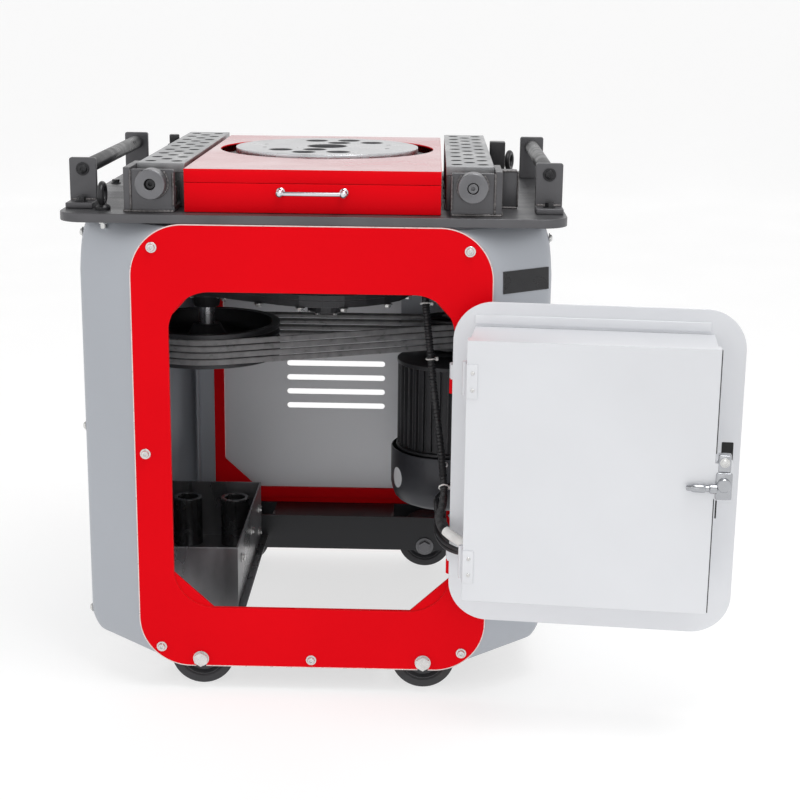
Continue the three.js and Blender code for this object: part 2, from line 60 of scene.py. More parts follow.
CAM_F = 1606.9582955828616; CAM_CX = 386.63782256452015; CAM_CY = 399.6647644020933
CAM_C = (195.83130298258476, -2635.43467238443, 358.3776168750236)
CAM_R = (0.9995514309326329, 0.028300438444594168, 0.00979908691511098)
CAM_U = (-0.016439772852462238, 0.2449890043959556, 0.969386466582672)
CAM_W = (-0.025033393479223072, 0.9691127245624845, -0.2453443626863927)

cam_data = bpy.data.cameras.new("camera")
cam = bpy.data.objects.new("camera", cam_data)
bpy.context.scene.collection.objects.link(cam)
R = Vector(CAM_R); U = Vector(CAM_U); Wd = Vector(CAM_W)
m = Matrix((R, U, -Wd)).transposed().to_4x4()
m.translation = P(*CAM_C)
cam.matrix_world = m
cam_data.sensor_width = 36.0
cam_data.lens = 36.0 * CAM_F / 800.0
cam_data.shift_x = (400.0 - CAM_CX) / 800.0
cam_data.shift_y = (CAM_CY - 400.0) / 800.0
cam_data.clip_start = 0.05
cam_data.clip_end = 60.0
bpy.context.scene.camera = cam

# ---------------- materials ----------------
def mat(name, color, rough=0.5, metal=0.0, var=0.06, scale=6.0, bump=0.02, fine=400.0, rough_var=0.12, wear=None,
        wear_amount=0.35, coat=0.0, dirt=0.0, aniso=None, bevel=0.0012, streak=None, spec=None):
    mt = bpy.data.materials.new(name)
    mt.use_nodes = True
    nt = mt.node_tree
    nd, ln = nt.nodes, nt.links
    b = nd["Principled BSDF"]
    b.inputs["Metallic"].default_value = metal
    if coat:
        b.inputs["Coat Weight"].default_value = coat
        b.inputs["Coat Roughness"].default_value = 0.12
    if spec is not None:
        b.inputs["Specular IOR Level"].default_value = spec
    tc = nd.new("ShaderNodeTexCoord")
    mp = nd.new("ShaderNodeMapping")
    if streak:
        mp.inputs["Scale"].default_value = streak
    ln.new(tc.outputs["Object"], mp.inputs["Vector"])
    n1 = nd.new("ShaderNodeTexNoise"); n1.inputs["Scale"].default_value = scale; n1.inputs["Detail"].default_value = 5
    n2 = nd.new("ShaderNodeTexNoise"); n2.inputs["Scale"].default_value = fine; n2.inputs["Detail"].default_value = 3
    ln.new(mp.outputs["Vector"], n1.inputs["Vector"]); ln.new(mp.outputs["Vector"], n2.inputs["Vector"])
    ramp = nd.new("ShaderNodeValToRGB")
    lo = [max(0.0, c * (1 - var)) for c in color]; hi = [min(1.0, c * (1 + var) + var * 0.01) for c in color]
    ramp.color_ramp.elements[0].position = 0.3; ramp.color_ramp.elements[0].color = (*lo, 1)
    ramp.color_ramp.elements[1].position = 0.72; ramp.color_ramp.elements[1].color = (*hi, 1)
    ln.new(n1.outputs["Fac"], ramp.inputs["Fac"])
    out = ramp.outputs["Color"]
    if dirt:
        d = nd.new("ShaderNodeTexNoise"); d.inputs["Scale"].default_value = 22; d.inputs["Detail"].default_value = 8
        ln.new(tc.outputs["Object"], d.inputs["Vector"])
        dr = nd.new("ShaderNodeMapRange"); dr.inputs["From Min"].default_value = 0.52; dr.inputs["From Max"].default_value = 0.75
        dr.inputs["To Max"].default_value = dirt
        ln.new(d.outputs["Fac"], dr.inputs["Value"])
        mx = nd.new("ShaderNodeMix"); mx.data_type = "RGBA"
        ln.new(dr.outputs["Result"], mx.inputs["Factor"]); ln.new(out, mx.inputs["A"])
        mx.inputs["B"].default_value = (0.05, 0.045, 0.04, 1)
        out = mx.outputs["Result"]
    if wear:
        ge = nd.new("ShaderNodeNewGeometry")
        wn = nd.new("ShaderNodeTexNoise"); wn.inputs["Scale"].default_value = 70; wn.inputs["Detail"].default_value = 6
        ln.new(tc.outputs["Object"], wn.inputs["Vector"])
        eb = nd.new("ShaderNodeBevel"); eb.samples = 4; eb.inputs["Radius"].default_value = 0.0016
        dt = nd.new("ShaderNodeVectorMath"); dt.operation = "DOT_PRODUCT"
        ln.new(eb.outputs["Normal"], dt.inputs[0]); ln.new(ge.outputs["Normal"], dt.inputs[1])
        iv = nd.new("ShaderNodeMath"); iv.operation = "SUBTRACT"; iv.inputs[0].default_value = 1.0
        ln.new(dt.outputs["Value"], iv.inputs[1])
        ad = nd.new("ShaderNodeMath"); ad.operation = "MULTIPLY_ADD"; ad.inputs[1].default_value = 0.14
        ln.new(wn.outputs["Fac"], ad.inputs[0]); ln.new(iv.outputs["Value"], ad.inputs[2])
        wr = nd.new("ShaderNodeMapRange"); wr.inputs["From Min"].default_value = 0.13; wr.inputs["From Max"].default_value = 0.24
        wr.inputs["To Max"].default_value = wear_amount
        ln.new(ad.outputs["Value"], wr.inputs["Value"])
        mw = nd.new("ShaderNodeMix"); mw.data_type = "RGBA"
        ln.new(wr.outputs["Result"], mw.inputs["Factor"]); ln.new(out, mw.inputs["A"])
        mw.inputs["B"].default_value = (*wear, 1)
        out = mw.outputs["Result"]
    ln.new(out, b.inputs["Base Color"])
    rr = nd.new("ShaderNodeMapRange")
    rr.inputs["From Min"].default_value = 0.3; rr.inputs["From Max"].default_value = 0.7
    rr.inputs["To Min"].default_value = max(0.03, rough - rough_var); rr.inputs["To Max"].default_value = min(1.0, rough + rough_var)
    ln.new(n1.outputs["Fac"], rr.inputs["Value"]); ln.new(rr.outputs["Result"], b.inputs["Roughness"])
    bp = nd.new("ShaderNodeBump"); bp.inputs["Strength"].default_value = min(1.0, bump * 10); bp.inputs["Distance"].default_value = 0.0006
    ln.new(n2.outputs["Fac"], bp.inputs["Height"])
    if bevel:
        bv = nd.new("ShaderNodeBevel"); bv.samples = 4; bv.inputs["Radius"].default_value = bevel
        ln.new(bv.outputs["Normal"], bp.inputs["Normal"])
    ln.new(bp.outputs["Normal"], b.inputs["Normal"])
    return mt

RED = mat("red_paint", (0.72, 0.001, 0.006), 0.42, 0.0, var=0.05, scale=3, bump=0.012, fine=900, rough_var=0.06, wear=(0.5, 0.1, 0.09), wear_amount=0.3, spec=0.04)
# darker, glossier copy of the red paint for the cover's top faces only: its colour is a painted reflection and shade
# for how the light falls on the top
TOPRED_PAINTED_REFLECTION = mat("red_paint_top_painted_reflection", (0.33, 0.020, 0.035), 0.24, 0.0, var=0.1, scale=5, bump=0.006, fine=500, rough_var=0.08, wear=(0.6, 0.12, 0.14), wear_amount=0.5, coat=0.5, spec=0.4)
# pale pinkish bare steel of the sheets' cut edges; the same colour paints the rim highlight bands on the panel faces
EDGE = mat("cut_edge_and_painted_highlight", (0.72, 0.62, 0.6), 0.35, 0.6, var=0.1, scale=120, bump=0.04, fine=700, bevel=0)
SILVER = mat("silver_paint", (0.40, 0.42, 0.455), 0.42, 0.45, var=0.04, scale=3, bump=0.015, fine=1400, rough_var=0.05, wear=(0.3, 0.3, 0.31), wear_amount=0.3)
DOORP = mat("door_paint", (0.70, 0.71, 0.735), 0.4, 0.2, var=0.05, scale=2.2, bump=0.015, fine=1400, rough_var=0.05, wear=(0.5, 0.5, 0.52), wear_amount=0.3)
DARK = mat("dark_steel", (0.105, 0.104, 0.11), 0.4, 0.6, var=0.16, scale=9, bump=0.05, fine=420, rough_var=0.1, wear=(0.36, 0.35, 0.34), wear_amount=0.55, dirt=0.08, streak=(1, 3, 1))
BEAM = mat("beam_paint", (0.016, 0.0165, 0.019), 0.4, 0.2, var=0.12, scale=5, bump=0.02, fine=500, wear=(0.2, 0.2, 0.2), wear_amount=0.4)
BINM = mat("bin_steel", (0.23, 0.23, 0.24), 0.32, 0.75, var=0.2, scale=7, bump=0.04, fine=420, rough_var=0.1, wear=(0.45, 0.45, 0.46), wear_amount=0.6, dirt=0.1, streak=(3, 1, 1))
BLKBOLT = mat("black_bolt", (0.03, 0.03, 0.032), 0.32, 0.6, var=0.2, scale=60, bump=0.03, bevel=0.0004)
BOSSM = mat("boss_steel", (0.16, 0.16, 0.168), 0.38, 0.75, var=0.16, scale=26, bump=0.04, fine=500, wear=(0.5, 0.5, 0.5), wear_amount=0.4)
GREYCHROME = mat("grey_chrome", (0.42, 0.43, 0.45), 0.18, 1.0, var=0.06, scale=50, bump=0.006, rough_var=0.05, bevel=0.0003)
SLEEVE = mat("sleeve_steel", (0.2, 0.2, 0.205), 0.22, 0.85, var=0.15, scale=30, bump=0.02, fine=600, wear=(0.5, 0.5, 0.5), wear_amount=0.6)
CAST = mat("cast_housing", (0.045, 0.046, 0.05), 0.45, 0.3, var=0.18, scale=14, bump=0.08, fine=260, wear=(0.25, 0.25, 0.26), wear_amount=0.5)
ZINC = mat("bare_zinc", (0.29, 0.294, 0.302), 0.36, 0.7, var=0.2, scale=34, bump=0.03, fine=500, rough_var=0.13, streak=(1, 0.25, 1), wear=(0.85, 0.85, 0.86), wear_amount=0.4, dirt=0.22)
MACH = mat("machined_steel", (0.62, 0.63, 0.65), 0.28, 0.9, var=0.12, scale=30, bump=0.03, fine=600, rough_var=0.1, wear=(0.85, 0.85, 0.86), wear_amount=0.3)
CHROME = mat("chrome_trim", (0.62, 0.63, 0.66), 0.09, 1.0, var=0.03, scale=50, bump=0.004, rough_var=0.04, bevel=0)
BLACK = mat("black_steel", (0.022, 0.022, 0.024), 0.36, 0.3, var=0.15, scale=24, bump=0.03, fine=300, wear=(0.2, 0.2, 0.2), wear_amount=0.3)
RUBBER = mat("wheel_rubber", (0.035, 0.035, 0.038), 0.75, 0.0, var=0.25, scale=30, bump=0.1, fine=500, dirt=0.3)
# the belts' light grey is partly worn rubber and partly a painted sheen
BELT = mat("belt_rubber", (0.24, 0.24, 0.245), 0.36, 0.0, var=0.22, scale=60, bump=0.1, fine=900, bevel=0)
COWL = mat("cowl_paint", (0.05, 0.052, 0.06), 0.4, 0.2, var=0.15, scale=12, bump=0.03, fine=500)
BOLT = mat("zinc_bolt", (0.66, 0.66, 0.65), 0.28, 0.85, var=0.1, scale=90, bump=0.02, bevel=0.0004)
WELD = mat("weld_bead", (0.16, 0.15, 0.15), 0.45, 0.7, var=0.4, scale=160, bump=0.12, fine=500, bevel=0)
# black plastic for cables, conduit, seals and contactors; also the colour of the painted shadow strips at the lid's
# edge
BLACK_PLASTIC_AND_SHADOW = mat("black_plastic_and_painted_shadow", (0.02, 0.02, 0.022), 0.45, 0.0, var=0.2, scale=60, bump=0.05, bevel=0)
LABEL = mat("blank_label", (0.8, 0.81, 0.83), 0.35, 0.0, var=0.05, scale=60, bump=0.01, bevel=0)
# near-black colour for painted shade in slots and in the disc pit
HOLE_SHADE = mat("painted_recess_shade", (0.012, 0.012, 0.013), 0.8, 0.0, var=0.2, scale=40, bump=0.02, bevel=0)
WIRE_W = mat("white_sleeve", (0.75, 0.75, 0.73), 0.5, 0.0, var=0.08, scale=60, bump=0.05, bevel=0)
ORANGE = mat("contact_plastic", (0.6, 0.61, 0.6), 0.45, 0.0, var=0.06, scale=40, bump=0.02)
FLOORM = mat("floor_white", (0.35, 0.35, 0.35), 0.75, 0.0, var=0.01, scale=2, bump=0.005, bevel=0)
FLOORM.node_tree.nodes["Principled BSDF"].inputs["Emission Color"].default_value = (1, 1, 1, 1)
FLOORM.node_tree.nodes["Principled BSDF"].inputs["Emission Strength"].default_value = 0.66
# concentric turning marks on the disc
def ringmarks(mt, cx, cy):
    nt = mt.node_tree; nd, ln = nt.nodes, nt.links
    tc = nd.new("ShaderNodeTexCoord"); sb = nd.new("ShaderNodeVectorMath"); sb.operation = "SUBTRACT"
    sb.inputs[1].default_value = P(cx, cy, 77)
    sc = nd.new("ShaderNodeVectorMath"); sc.operation = "MULTIPLY"; sc.inputs[1].default_value = (1, 1, 0)
    le = nd.new("ShaderNodeVectorMath"); le.operation = "LENGTH"
    sn = nd.new("ShaderNodeMath"); sn.operation = "MULTIPLY"; sn.inputs[1].default_value = 2400
    si = nd.new("ShaderNodeMath"); si.operation = "SINE"
    ln.new(tc.outputs["Object"], sb.inputs[0]); ln.new(sb.outputs["Vector"], sc.inputs[0]); ln.new(sc.outputs["Vector"], le.inputs[0])
    ln.new(le.outputs["Value"], sn.inputs[0]); ln.new(sn.outputs["Value"], si.inputs[0])
    bp = nd.new("ShaderNodeBump"); bp.inputs["Strength"].default_value = 0.25; bp.inputs["Distance"].default_value = 0.0003
    b = nd["Principled BSDF"]; old = b.inputs["Normal"].links[0].from_socket
    ln.new(si.outputs["Value"], bp.inputs["Height"]); ln.new(old, bp.inputs["Normal"]); ln.new(bp.outputs["Normal"], b.inputs["Normal"])
DISCM = mat("disc_steel", (0.50, 0.50, 0.51), 0.34, 0.75, var=0.12, scale=18, bump=0.02, fine=500, rough_var=0.1, wear=(0.9, 0.9, 0.9), wear_amount=0.4, dirt=0.15)
ringmarks(DISCM, 0, 420)

SLOTS = {"red_paint": RED, "silver_paint": SILVER, "door_paint": DOORP, "dark_steel": DARK, "cast_housing": CAST, "bare_zinc": ZINC,
         "machined_steel": MACH, "chrome_trim": CHROME, "black_steel": BLACK, "wheel_rubber": RUBBER, "belt_rubber": BELT, "cowl_paint": COWL}
slot_of = {s["node"]: s["material_slot"] for s in frame["record"]["subparts"]}
for name, ob in nodes.items():
    mt = SLOTS[slot_of[name]]
    if not ob.data.materials:
        ob.data.materials.append(mt)
    for i in range(len(ob.material_slots)):
        ob.material_slots[i].material = mt
for name, mt in (("tool_bin", BINM), ("front_beam", BEAM), ("rear_beam", BEAM), ("motor_bracket", SILVER), ("axle_bolt_front_left", BOLT), ("axle_bolt_front_right", BOLT), ("axle_bolt_rear_left", BOSSM), ("axle_bolt_rear_right", BOSSM)):
    nodes[name].material_slots[0].material = mt

# ---------------- mesh helpers (model millimetres) ----------------
def finish_mesh(name, me, mtl, body, M=BASE, sharp=32, rep=()):
    me.transform(M)
    ob = bpy.data.objects.new(name, me)
    bpy.context.scene.collection.objects.link(ob)
    for mt in (mtl if isinstance(mtl, (list, tuple)) else [mtl]):
        me.materials.append(mt)
    me.shade_smooth()
    me.set_sharp_from_angle(angle=math.radians(sharp))
    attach(ob, body)
    if rep:
        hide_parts(*rep)
    return ob

def bm_mesh(name, bm):
    bmesh.ops.recalc_face_normals(bm, faces=bm.faces)
    me = bpy.data.meshes.new(name)
    bm.to_mesh(me); bm.free()
    return me

def arc(cx, cy, r, a0, a1, n):
    return [(cx + r * math.cos(math.radians(a0 + (a1 - a0) * i / n)), cy + r * math.sin(math.radians(a0 + (a1 - a0) * i / n))) for i in range(n + 1)]

def rrect(x0, x1, y0, y1, r, n=20):
    r = min(r, (x1 - x0) / 2 - 1e-3, (y1 - y0) / 2 - 1e-3)
    return arc(x1 - r, y0 + r, r, -90, 0, n) + arc(x1 - r, y1 - r, r, 0, 90, n) + arc(x0 + r, y1 - r, r, 90, 180, n) + arc(x0 + r, y0 + r, r, 180, 270, n)

def circ(cx, cy, r, n=48):
    return arc(cx, cy, r, 0, 360, n)[:-1]

AX = {"z": Matrix.Identity(4), "y": Matrix.Rotation(math.pi / 2, 4, "X"), "x": Matrix(((0, 0, 1, 0), (1, 0, 0, 0), (0, 1, 0, 0), (0, 0, 0, 1)))}

def plate_mesh(name, loops, axis, a, b, bevel=0.6, res=2):
    """2D loops (outer first, then holes) pushed along an axis from a to b, edges rounded."""
    cu = bpy.data.curves.new(name, "CURVE"); cu.dimensions = "2D"; cu.fill_mode = "BOTH"
    for lp in loops:
        sp = cu.splines.new("POLY"); sp.points.add(len(lp) - 1); sp.use_cyclic_u = True
        for i, p in enumerate(lp):
            sp.points[i].co = (p[0], p[1], 0, 1)
    t = abs(b - a) / 2
    bevel = min(bevel, t * 0.9)
    cu.extrude = t - bevel; cu.bevel_depth = bevel; cu.bevel_resolution = res; cu.offset = -bevel
    ob = bpy.data.objects.new(name, cu); bpy.context.scene.collection.objects.link(ob)
    bpy.context.view_layer.update()
    me = bpy.data.meshes.new_from_object(ob.evaluated_get(bpy.context.evaluated_depsgraph_get()))
    bpy.data.objects.remove(ob); bpy.data.curves.remove(cu)
    mid = (a + b) / 2
    if axis == "z":
        M = Matrix.Translation((0, 0, mid))
    elif axis == "y":
        M = Matrix.Translation((0, mid, 0)) @ AX["y"]
    else:
        M = Matrix.Translation((mid, 0, 0)) @ AX["x"]
    me.transform(M)
    me.materials.clear()
    return me

def plate(name, loops, axis, a, b, mtl, body, bevel=0.6, edge=None, M=BASE, rep=(), sharp=32):
    me = plate_mesh(name, loops, axis, a, b, bevel)
    k = {"x": 0, "y": 1, "z": 2}[axis]
    if edge:
        for p in me.polygons:
            p.material_index = 1 if abs(p.normal[k]) < 0.5 else 0
        mtl = [mtl, edge]
    return finish_mesh(name, me, mtl, body, M, sharp, rep)

def lathe_mesh(name, prof, axis, cx, cy, seg=64, closed=True):
    bm = bmesh.new(); rings = []
    for r, h in prof:
        if r < 0.01:
            rings.append([bm.verts.new((0, 0, h))])
        else:
            rings.append([bm.verts.new((r * math.cos(2 * math.pi * i / seg), r * math.sin(2 * math.pi * i / seg), h)) for i in range(seg)])
    pairs = list(zip(rings, rings[1:])) + ([(rings[-1], rings[0])] if closed else [])
    for A, B in pairs:
        for i in range(seg):
            j = (i + 1) % seg
            vs = [A[i % len(A)], A[j % len(A)], B[j % len(B)], B[i % len(B)]]
            u = []
            for v in vs:
                if v not in u: u.append(v)
            if len(u) > 2:
                try: bm.faces.new(u)
                except ValueError: pass
    me = bm_mesh(name, bm)
    if axis == "y":
        me.transform(Matrix.Translation((cx, 0, cy)) @ Matrix(((1, 0, 0, 0), (0, 0, 1, 0), (0, -1, 0, 0), (0, 0, 0, 1))))
    elif axis == "z":
        me.transform(Matrix.Translation((cx, cy, 0)))
    else:
        me.transform(Matrix.Translation((0, cx, cy)) @ AX["x"])
    return me

def lathe(name, prof, axis, cx, cy, mtl, body, seg=64, closed=True, M=BASE, rep=(), sharp=32):
    return finish_mesh(name, lathe_mesh(name, prof, axis, cx, cy, seg, closed), mtl, body, M, sharp, rep)

def rbox_mesh(name, x0, x1, y0, y1, z0, z1, r=1.5, seg=3):
    bm = bmesh.new(); bmesh.ops.create_cube(bm, size=1)
    for v in bm.verts:
        v.co = ((x0 + x1) / 2 + v.co.x * (x1 - x0), (y0 + y1) / 2 + v.co.y * (y1 - y0), (z0 + z1) / 2 + v.co.z * (z1 - z0))
    bmesh.ops.bevel(bm, geom=bm.edges[:], offset=min(r, abs(x1 - x0) * 0.45, abs(y1 - y0) * 0.45, abs(z1 - z0) * 0.45), segments=seg, affect="EDGES", profile=0.5)
    return bm_mesh(name, bm)

def rbox(name, x0, x1, y0, y1, z0, z1, mtl, body, r=1.5, M=BASE, rep=()):
    return finish_mesh(name, rbox_mesh(name, x0, x1, y0, y1, z0, z1, r), mtl, body, M, 32, rep)

def merge(name, meshes):
    bm = bmesh.new()
    for me in meshes:
        bm.from_mesh(me); bpy.data.meshes.remove(me)
    me = bpy.data.meshes.new(name); bm.to_mesh(me); bm.free()
    return me

def smooth_path(pts, n):
    out = []
    P_ = [Vector(p) for p in pts]
    seg = len(P_) - 1
    for k in range(n + 1):
        t = k / n * seg; i = min(int(t), seg - 1); u = t - i
        p0, p1, p2, p3 = P_[max(i - 1, 0)], P_[i], P_[i + 1], P_[min(i + 2, seg)]
        out.append(0.5 * ((2 * p1) + (p2 - p0) * u + (2 * p0 - 5 * p1 + 4 * p2 - p3) * u * u + (3 * p1 - p0 - 3 * p2 + p3) * u ** 3))
    return out

def tube_mesh(name, path, rad, sides=12, closed=False):
    bm = bmesh.new(); rings = []; n = len(path)
    up = Vector((0.13, 0.21, 0.97)).normalized()
    for k, p in enumerate(path):
        a = path[(k - 1) % n] if (closed or k > 0) else path[k]
        b = path[(k + 1) % n] if (closed or k < n - 1) else path[k]
        t = (b - a).normalized()
        s = up.cross(t)
        s = (s if s.length > 1e-4 else Vector((1, 0, 0)).cross(t)).normalized(); w = t.cross(s)
        up = w if k else w
        r = rad(k / max(n - 1, 1)) if callable(rad) else rad
        rings.append([bm.verts.new(p + r * (math.cos(2 * math.pi * i / sides) * s + math.sin(2 * math.pi * i / sides) * w)) for i in range(sides)])
    for k in range(n if closed else n - 1):
        A, B = rings[k], rings[(k + 1) % n]
        for i in range(sides):
            bm.faces.new((A[i], A[(i + 1) % sides], B[(i + 1) % sides], B[i]))
    if not closed:
        bm.faces.new(rings[0]); bm.faces.new(rings[-1])
    return bm_mesh(name, bm)

def tube(name, pts, rad, mtl, body, sides=12, n=None, M=BASE, closed=False, rep=()):
    path = smooth_path(pts, n) if n else [Vector(p) for p in pts]
    return finish_mesh(name, tube_mesh(name, path, rad, sides, closed), mtl, body, M, 60, rep)

DIRS = {"-y": Matrix.Rotation(math.pi / 2, 4, "X"), "+y": Matrix.Rotation(-math.pi / 2, 4, "X"), "+z": Matrix.Identity(4), "-z": Matrix.Rotation(math.pi, 4, "X"),
        "+x": Matrix.Rotation(math.pi / 2, 4, "Y"), "-x": Matrix.Rotation(-math.pi / 2, 4, "Y")}

def bolt_mesh(name, pos, d, r=7.5, h=5.5, kind="hex", washer=True):
    """Hex or domed screw head on a washer, standing along d from pos."""
    M = Matrix.Translation(pos) @ DIRS[d]
    parts = []
    if washer:
        w = lathe_mesh(name + "w", [(r * 0.5, 0.05), (r * 1.32, 0.05), (r * 1.38, 0.4), (r * 1.38, 1.2), (r * 1.3, 1.6), (r * 0.5, 1.6)], "z", 0, 0, 28)
        parts.append(w)
    z = 1.6 if washer else 0.05
    if kind == "hex":
        bm = bmesh.new(); rings = []
        for rr, zz in ((r, z), (r, z + h * 0.82), (r * 0.9, z + h)):
            rings.append([bm.verts.new((rr * math.cos(math.pi / 3 * i + 0.3), rr * math.sin(math.pi / 3 * i + 0.3), zz)) for i in range(6)])
        for A, B in zip(rings, rings[1:]):
            for i in range(6): bm.faces.new((A[i], A[(i + 1) % 6], B[(i + 1) % 6], B[i]))
        bm.faces.new(rings[-1]); bm.faces.new(rings[0])
        parts.append(bm_mesh(name + "h", bm))
    else:
        parts.append(lathe_mesh(name + "h", [(0, z), (r, z), (r, z + h * 0.35), (r * 0.86, z + h * 0.72), (r * 0.55, z + h * 0.95), (r * 0.42, z + h), (r * 0.38, z + h * 0.5), (0, z + h * 0.5)], "z", 0, 0, 24, closed=False))
    me = merge(name, parts)
    me.transform(M)
    return me

def bolts(name, items, body, mtl=None, M=BASE, **k):
    me = merge(name, [bolt_mesh(name + str(i), p, d, **k) for i, (p, d) in enumerate(items)])
    return finish_mesh(name, me, mtl or BOLT, body, M, 30)

def weld_mesh(name, a, b, r=2.6):
    a, b = Vector(a), Vector(b); L = (b - a).length; n = max(6, int(L / 1.6))
    path = [a.lerp(b, i / n) for i in range(n + 1)]
    return tube_mesh(name, path, lambda t: r * (0.72 + 0.28 * abs(math.sin(t * L / 3.2 * math.pi / 2))) * (0.92 + 0.16 * rnd.random()), 8)

def welds(name, segs, body, M=BASE, r=2.6):
    return finish_mesh(name, merge(name, [weld_mesh(name + str(i), a, b, r) for i, (a, b) in enumerate(segs)]), WELD, body, M, 60)

def decal(name, loops, axis, at, mtl, body, M=BASE, t=0.5):
    return plate(name, loops, axis, at - t / 2, at + t / 2, mtl, body, bevel=0.12, M=M)

F = "frame"
# ---------------- table ----------------
plate("table_top_plate", [rrect(-425, 425, 0, 722, 45, 16), circ(0, 420, 60)], "z", -15, 0, DARK, F, bevel=1.2, rep=("table_plate",))
bolts("table_bolts", [((s * 407, y, 0), "+z") for s in (-1, 1) for y in (438, 250)], F, mtl=BLKBOLT, r=7, h=6)
# nut and thread end of the front eye, under the table
finish_mesh("eye_nut", merge("eye_nut", [bolt_mesh("en", (-355, 53, -15.1), "-z", r=8.6, h=6.5), lathe_mesh("et", [(0, -16), (4.6, -16), (4.9, -24), (4.9, -31), (4.2, -32), (0, -32)], "z", -355, 53, 24, closed=False)]), BOLT, F, sharp=30)

# ---------------- cabinet panels ----------------
def panel_outline():
    pts = arc(214, -711, 90, -90, 0, 22) + arc(214, -105.3, 90, 0, 90, 22) + arc(-214, -105.3, 90, 90, 180, 22) + arc(-214, -711, 90, 180, 270, 22)
    for s in (-1, 1):
        pts += [(s * 196 - 8.8, -801)] + arc(s * 196, -786.5, 8.8, 180, 0, 12) + [(s * 196 + 8.8, -801)]
    return pts

def stop_ring(y0, y1, tag, rep=()):
    outer = rrect(-263, 263, -712.5, -107, 48)
    mouth = [(-241, -176), (-198, -129), (198, -129), (241, -176), (241, -627), (172, -690.5), (-172, -690.5), (-241, -627)]
    return plate_mesh("ring_" + tag, [outer, mouth], "y", y0, y1, 0.5)

def panel(tag, y0, y1, ry0, ry1, hy, sgn):
    face = plate_mesh("face_" + tag, [panel_outline(), rrect(-241, 241, -690.5, -129, 70)], "y", y0, y1, 0.35)
    for p in face.polygons:
        c = p.center
        p.material_index = 1 if abs(p.normal[1]) < 0.6 and (abs(c.x) > 243 or c.z > -127 or c.z < -692.5) else 0
    ring = stop_ring(ry0, ry1, tag)
    parts = [face, ring]
    for z in (-292.2, -612.2):
        parts.append(lathe_mesh("lug", [(0, z), (5.6, z), (6, z + 0.5), (6, z + 25.4), (5.6, z + 25.9), (0, z + 25.9)], "z", HINGE[0], hy, 24, closed=False))
        a, b = sorted((hy, y0 if sgn < 0 else y1))
        parts.append(rbox_mesh("lugarm", 240.6, 251, a, b, z + 0.4, z + 25.5, 0.8))
        a, b = (-3, 0) if sgn < 0 else (722, 725)
        parts.append(rbox_mesh("luglf", 243, 268, a, b, z + 0.4, z + 25.5, 0.8))
    return finish_mesh("panel_" + tag, merge("panel_" + tag, parts), [RED, EDGE], F, rep=(tag + "_panel",))

panel("front", 0, 3, 3, 8.3, HINGE[1], -1)
panel("rear", 719, 722, 713.7, 719, 735.5, 1)
def rim(d):
    r = 90 - d
    return arc(214, -711, r, -90, 0, 22) + arc(214, -105.3, r, 0, 90, 22) + arc(-214, -105.3, r, 90, 180, 22) + arc(-214, -711, r, 180, 270, 22)
def edge_highlight_band(tag, a, b):
    # painted rim highlight: a narrow pale band on the face along the sheet's edge, stopping at the wheel notches
    def keep(q):
        return not (q[1] < -790 and min(abs(q[0] - 196), abs(q[0] + 196)) < 9)
    o, i = rim(0.15), rim(1.9)
    bm = bmesh.new(); n = len(o)
    f = [[bm.verts.new((q[0], y, q[1])) for q in lp] for lp in (o, i) for y in (a, b)]
    for k in range(n):
        j = (k + 1) % n
        if o[k][1] < -790 and o[j][1] < -790 and abs(o[k][0] - o[j][0]) > 60:
            continue
        for A, B in ((f[0], f[2]), (f[2], f[3]), (f[3], f[1]), (f[1], f[0])):
            bm.faces.new((A[k], A[j], B[j], B[k]))
    bmesh.ops.holes_fill(bm, edges=[e for e in bm.edges if e.is_boundary], sides=4)
    return finish_mesh("edge_highlight_band_" + tag, bm_mesh("edge_highlight_band_" + tag, bm), EDGE, F)
edge_highlight_band("front", -0.35, 0.4); edge_highlight_band("rear", 721.6, 722.35)
# painted rim highlight: pale bands along the panels' bottom edge, broken at the wheel notches
def bottom_highlight_bands(tag, a, b):
    parts = []
    for x0, x1 in ((-214, -205), (-187, 187), (205, 214)):
        parts.append(rbox_mesh("bl", x0, x1, a, b, -800.85, -799.1, 0.2, 1))
    finish_mesh("bottom_highlight_band_" + tag, merge("bl", parts), EDGE, F)
bottom_highlight_bands("front", -0.35, 0.4); bottom_highlight_bands("rear", 721.6, 722.35)
bolts("panel_bolts_front", [((x, -0.05, z), "-y") for x, z in ((-266, -54.7), (263.6, -54.6), (-285, -411.7), (285, -411.7), (-265.2, -765.1), (-1.1, -785.7), (263.2, -767))],
      F, r=6.6, h=5, kind="dome")
bolts("panel_bolts_rear", [((x, 722.05, z), "+y") for x, z in ((-266, -54.7), (263.6, -54.6), (-285, -411.7), (285, -411.7), (-265.2, -765.1), (-1.1, -785.7), (263.2, -767))],
      F, r=6.6, h=5, kind="dome")
bolts("hinge_screws", [((x, -3, z), "-y") for x in (258,) for z in (-286, -273, -606, -593)], F, r=2.6, h=1.4, kind="dome", washer=False)

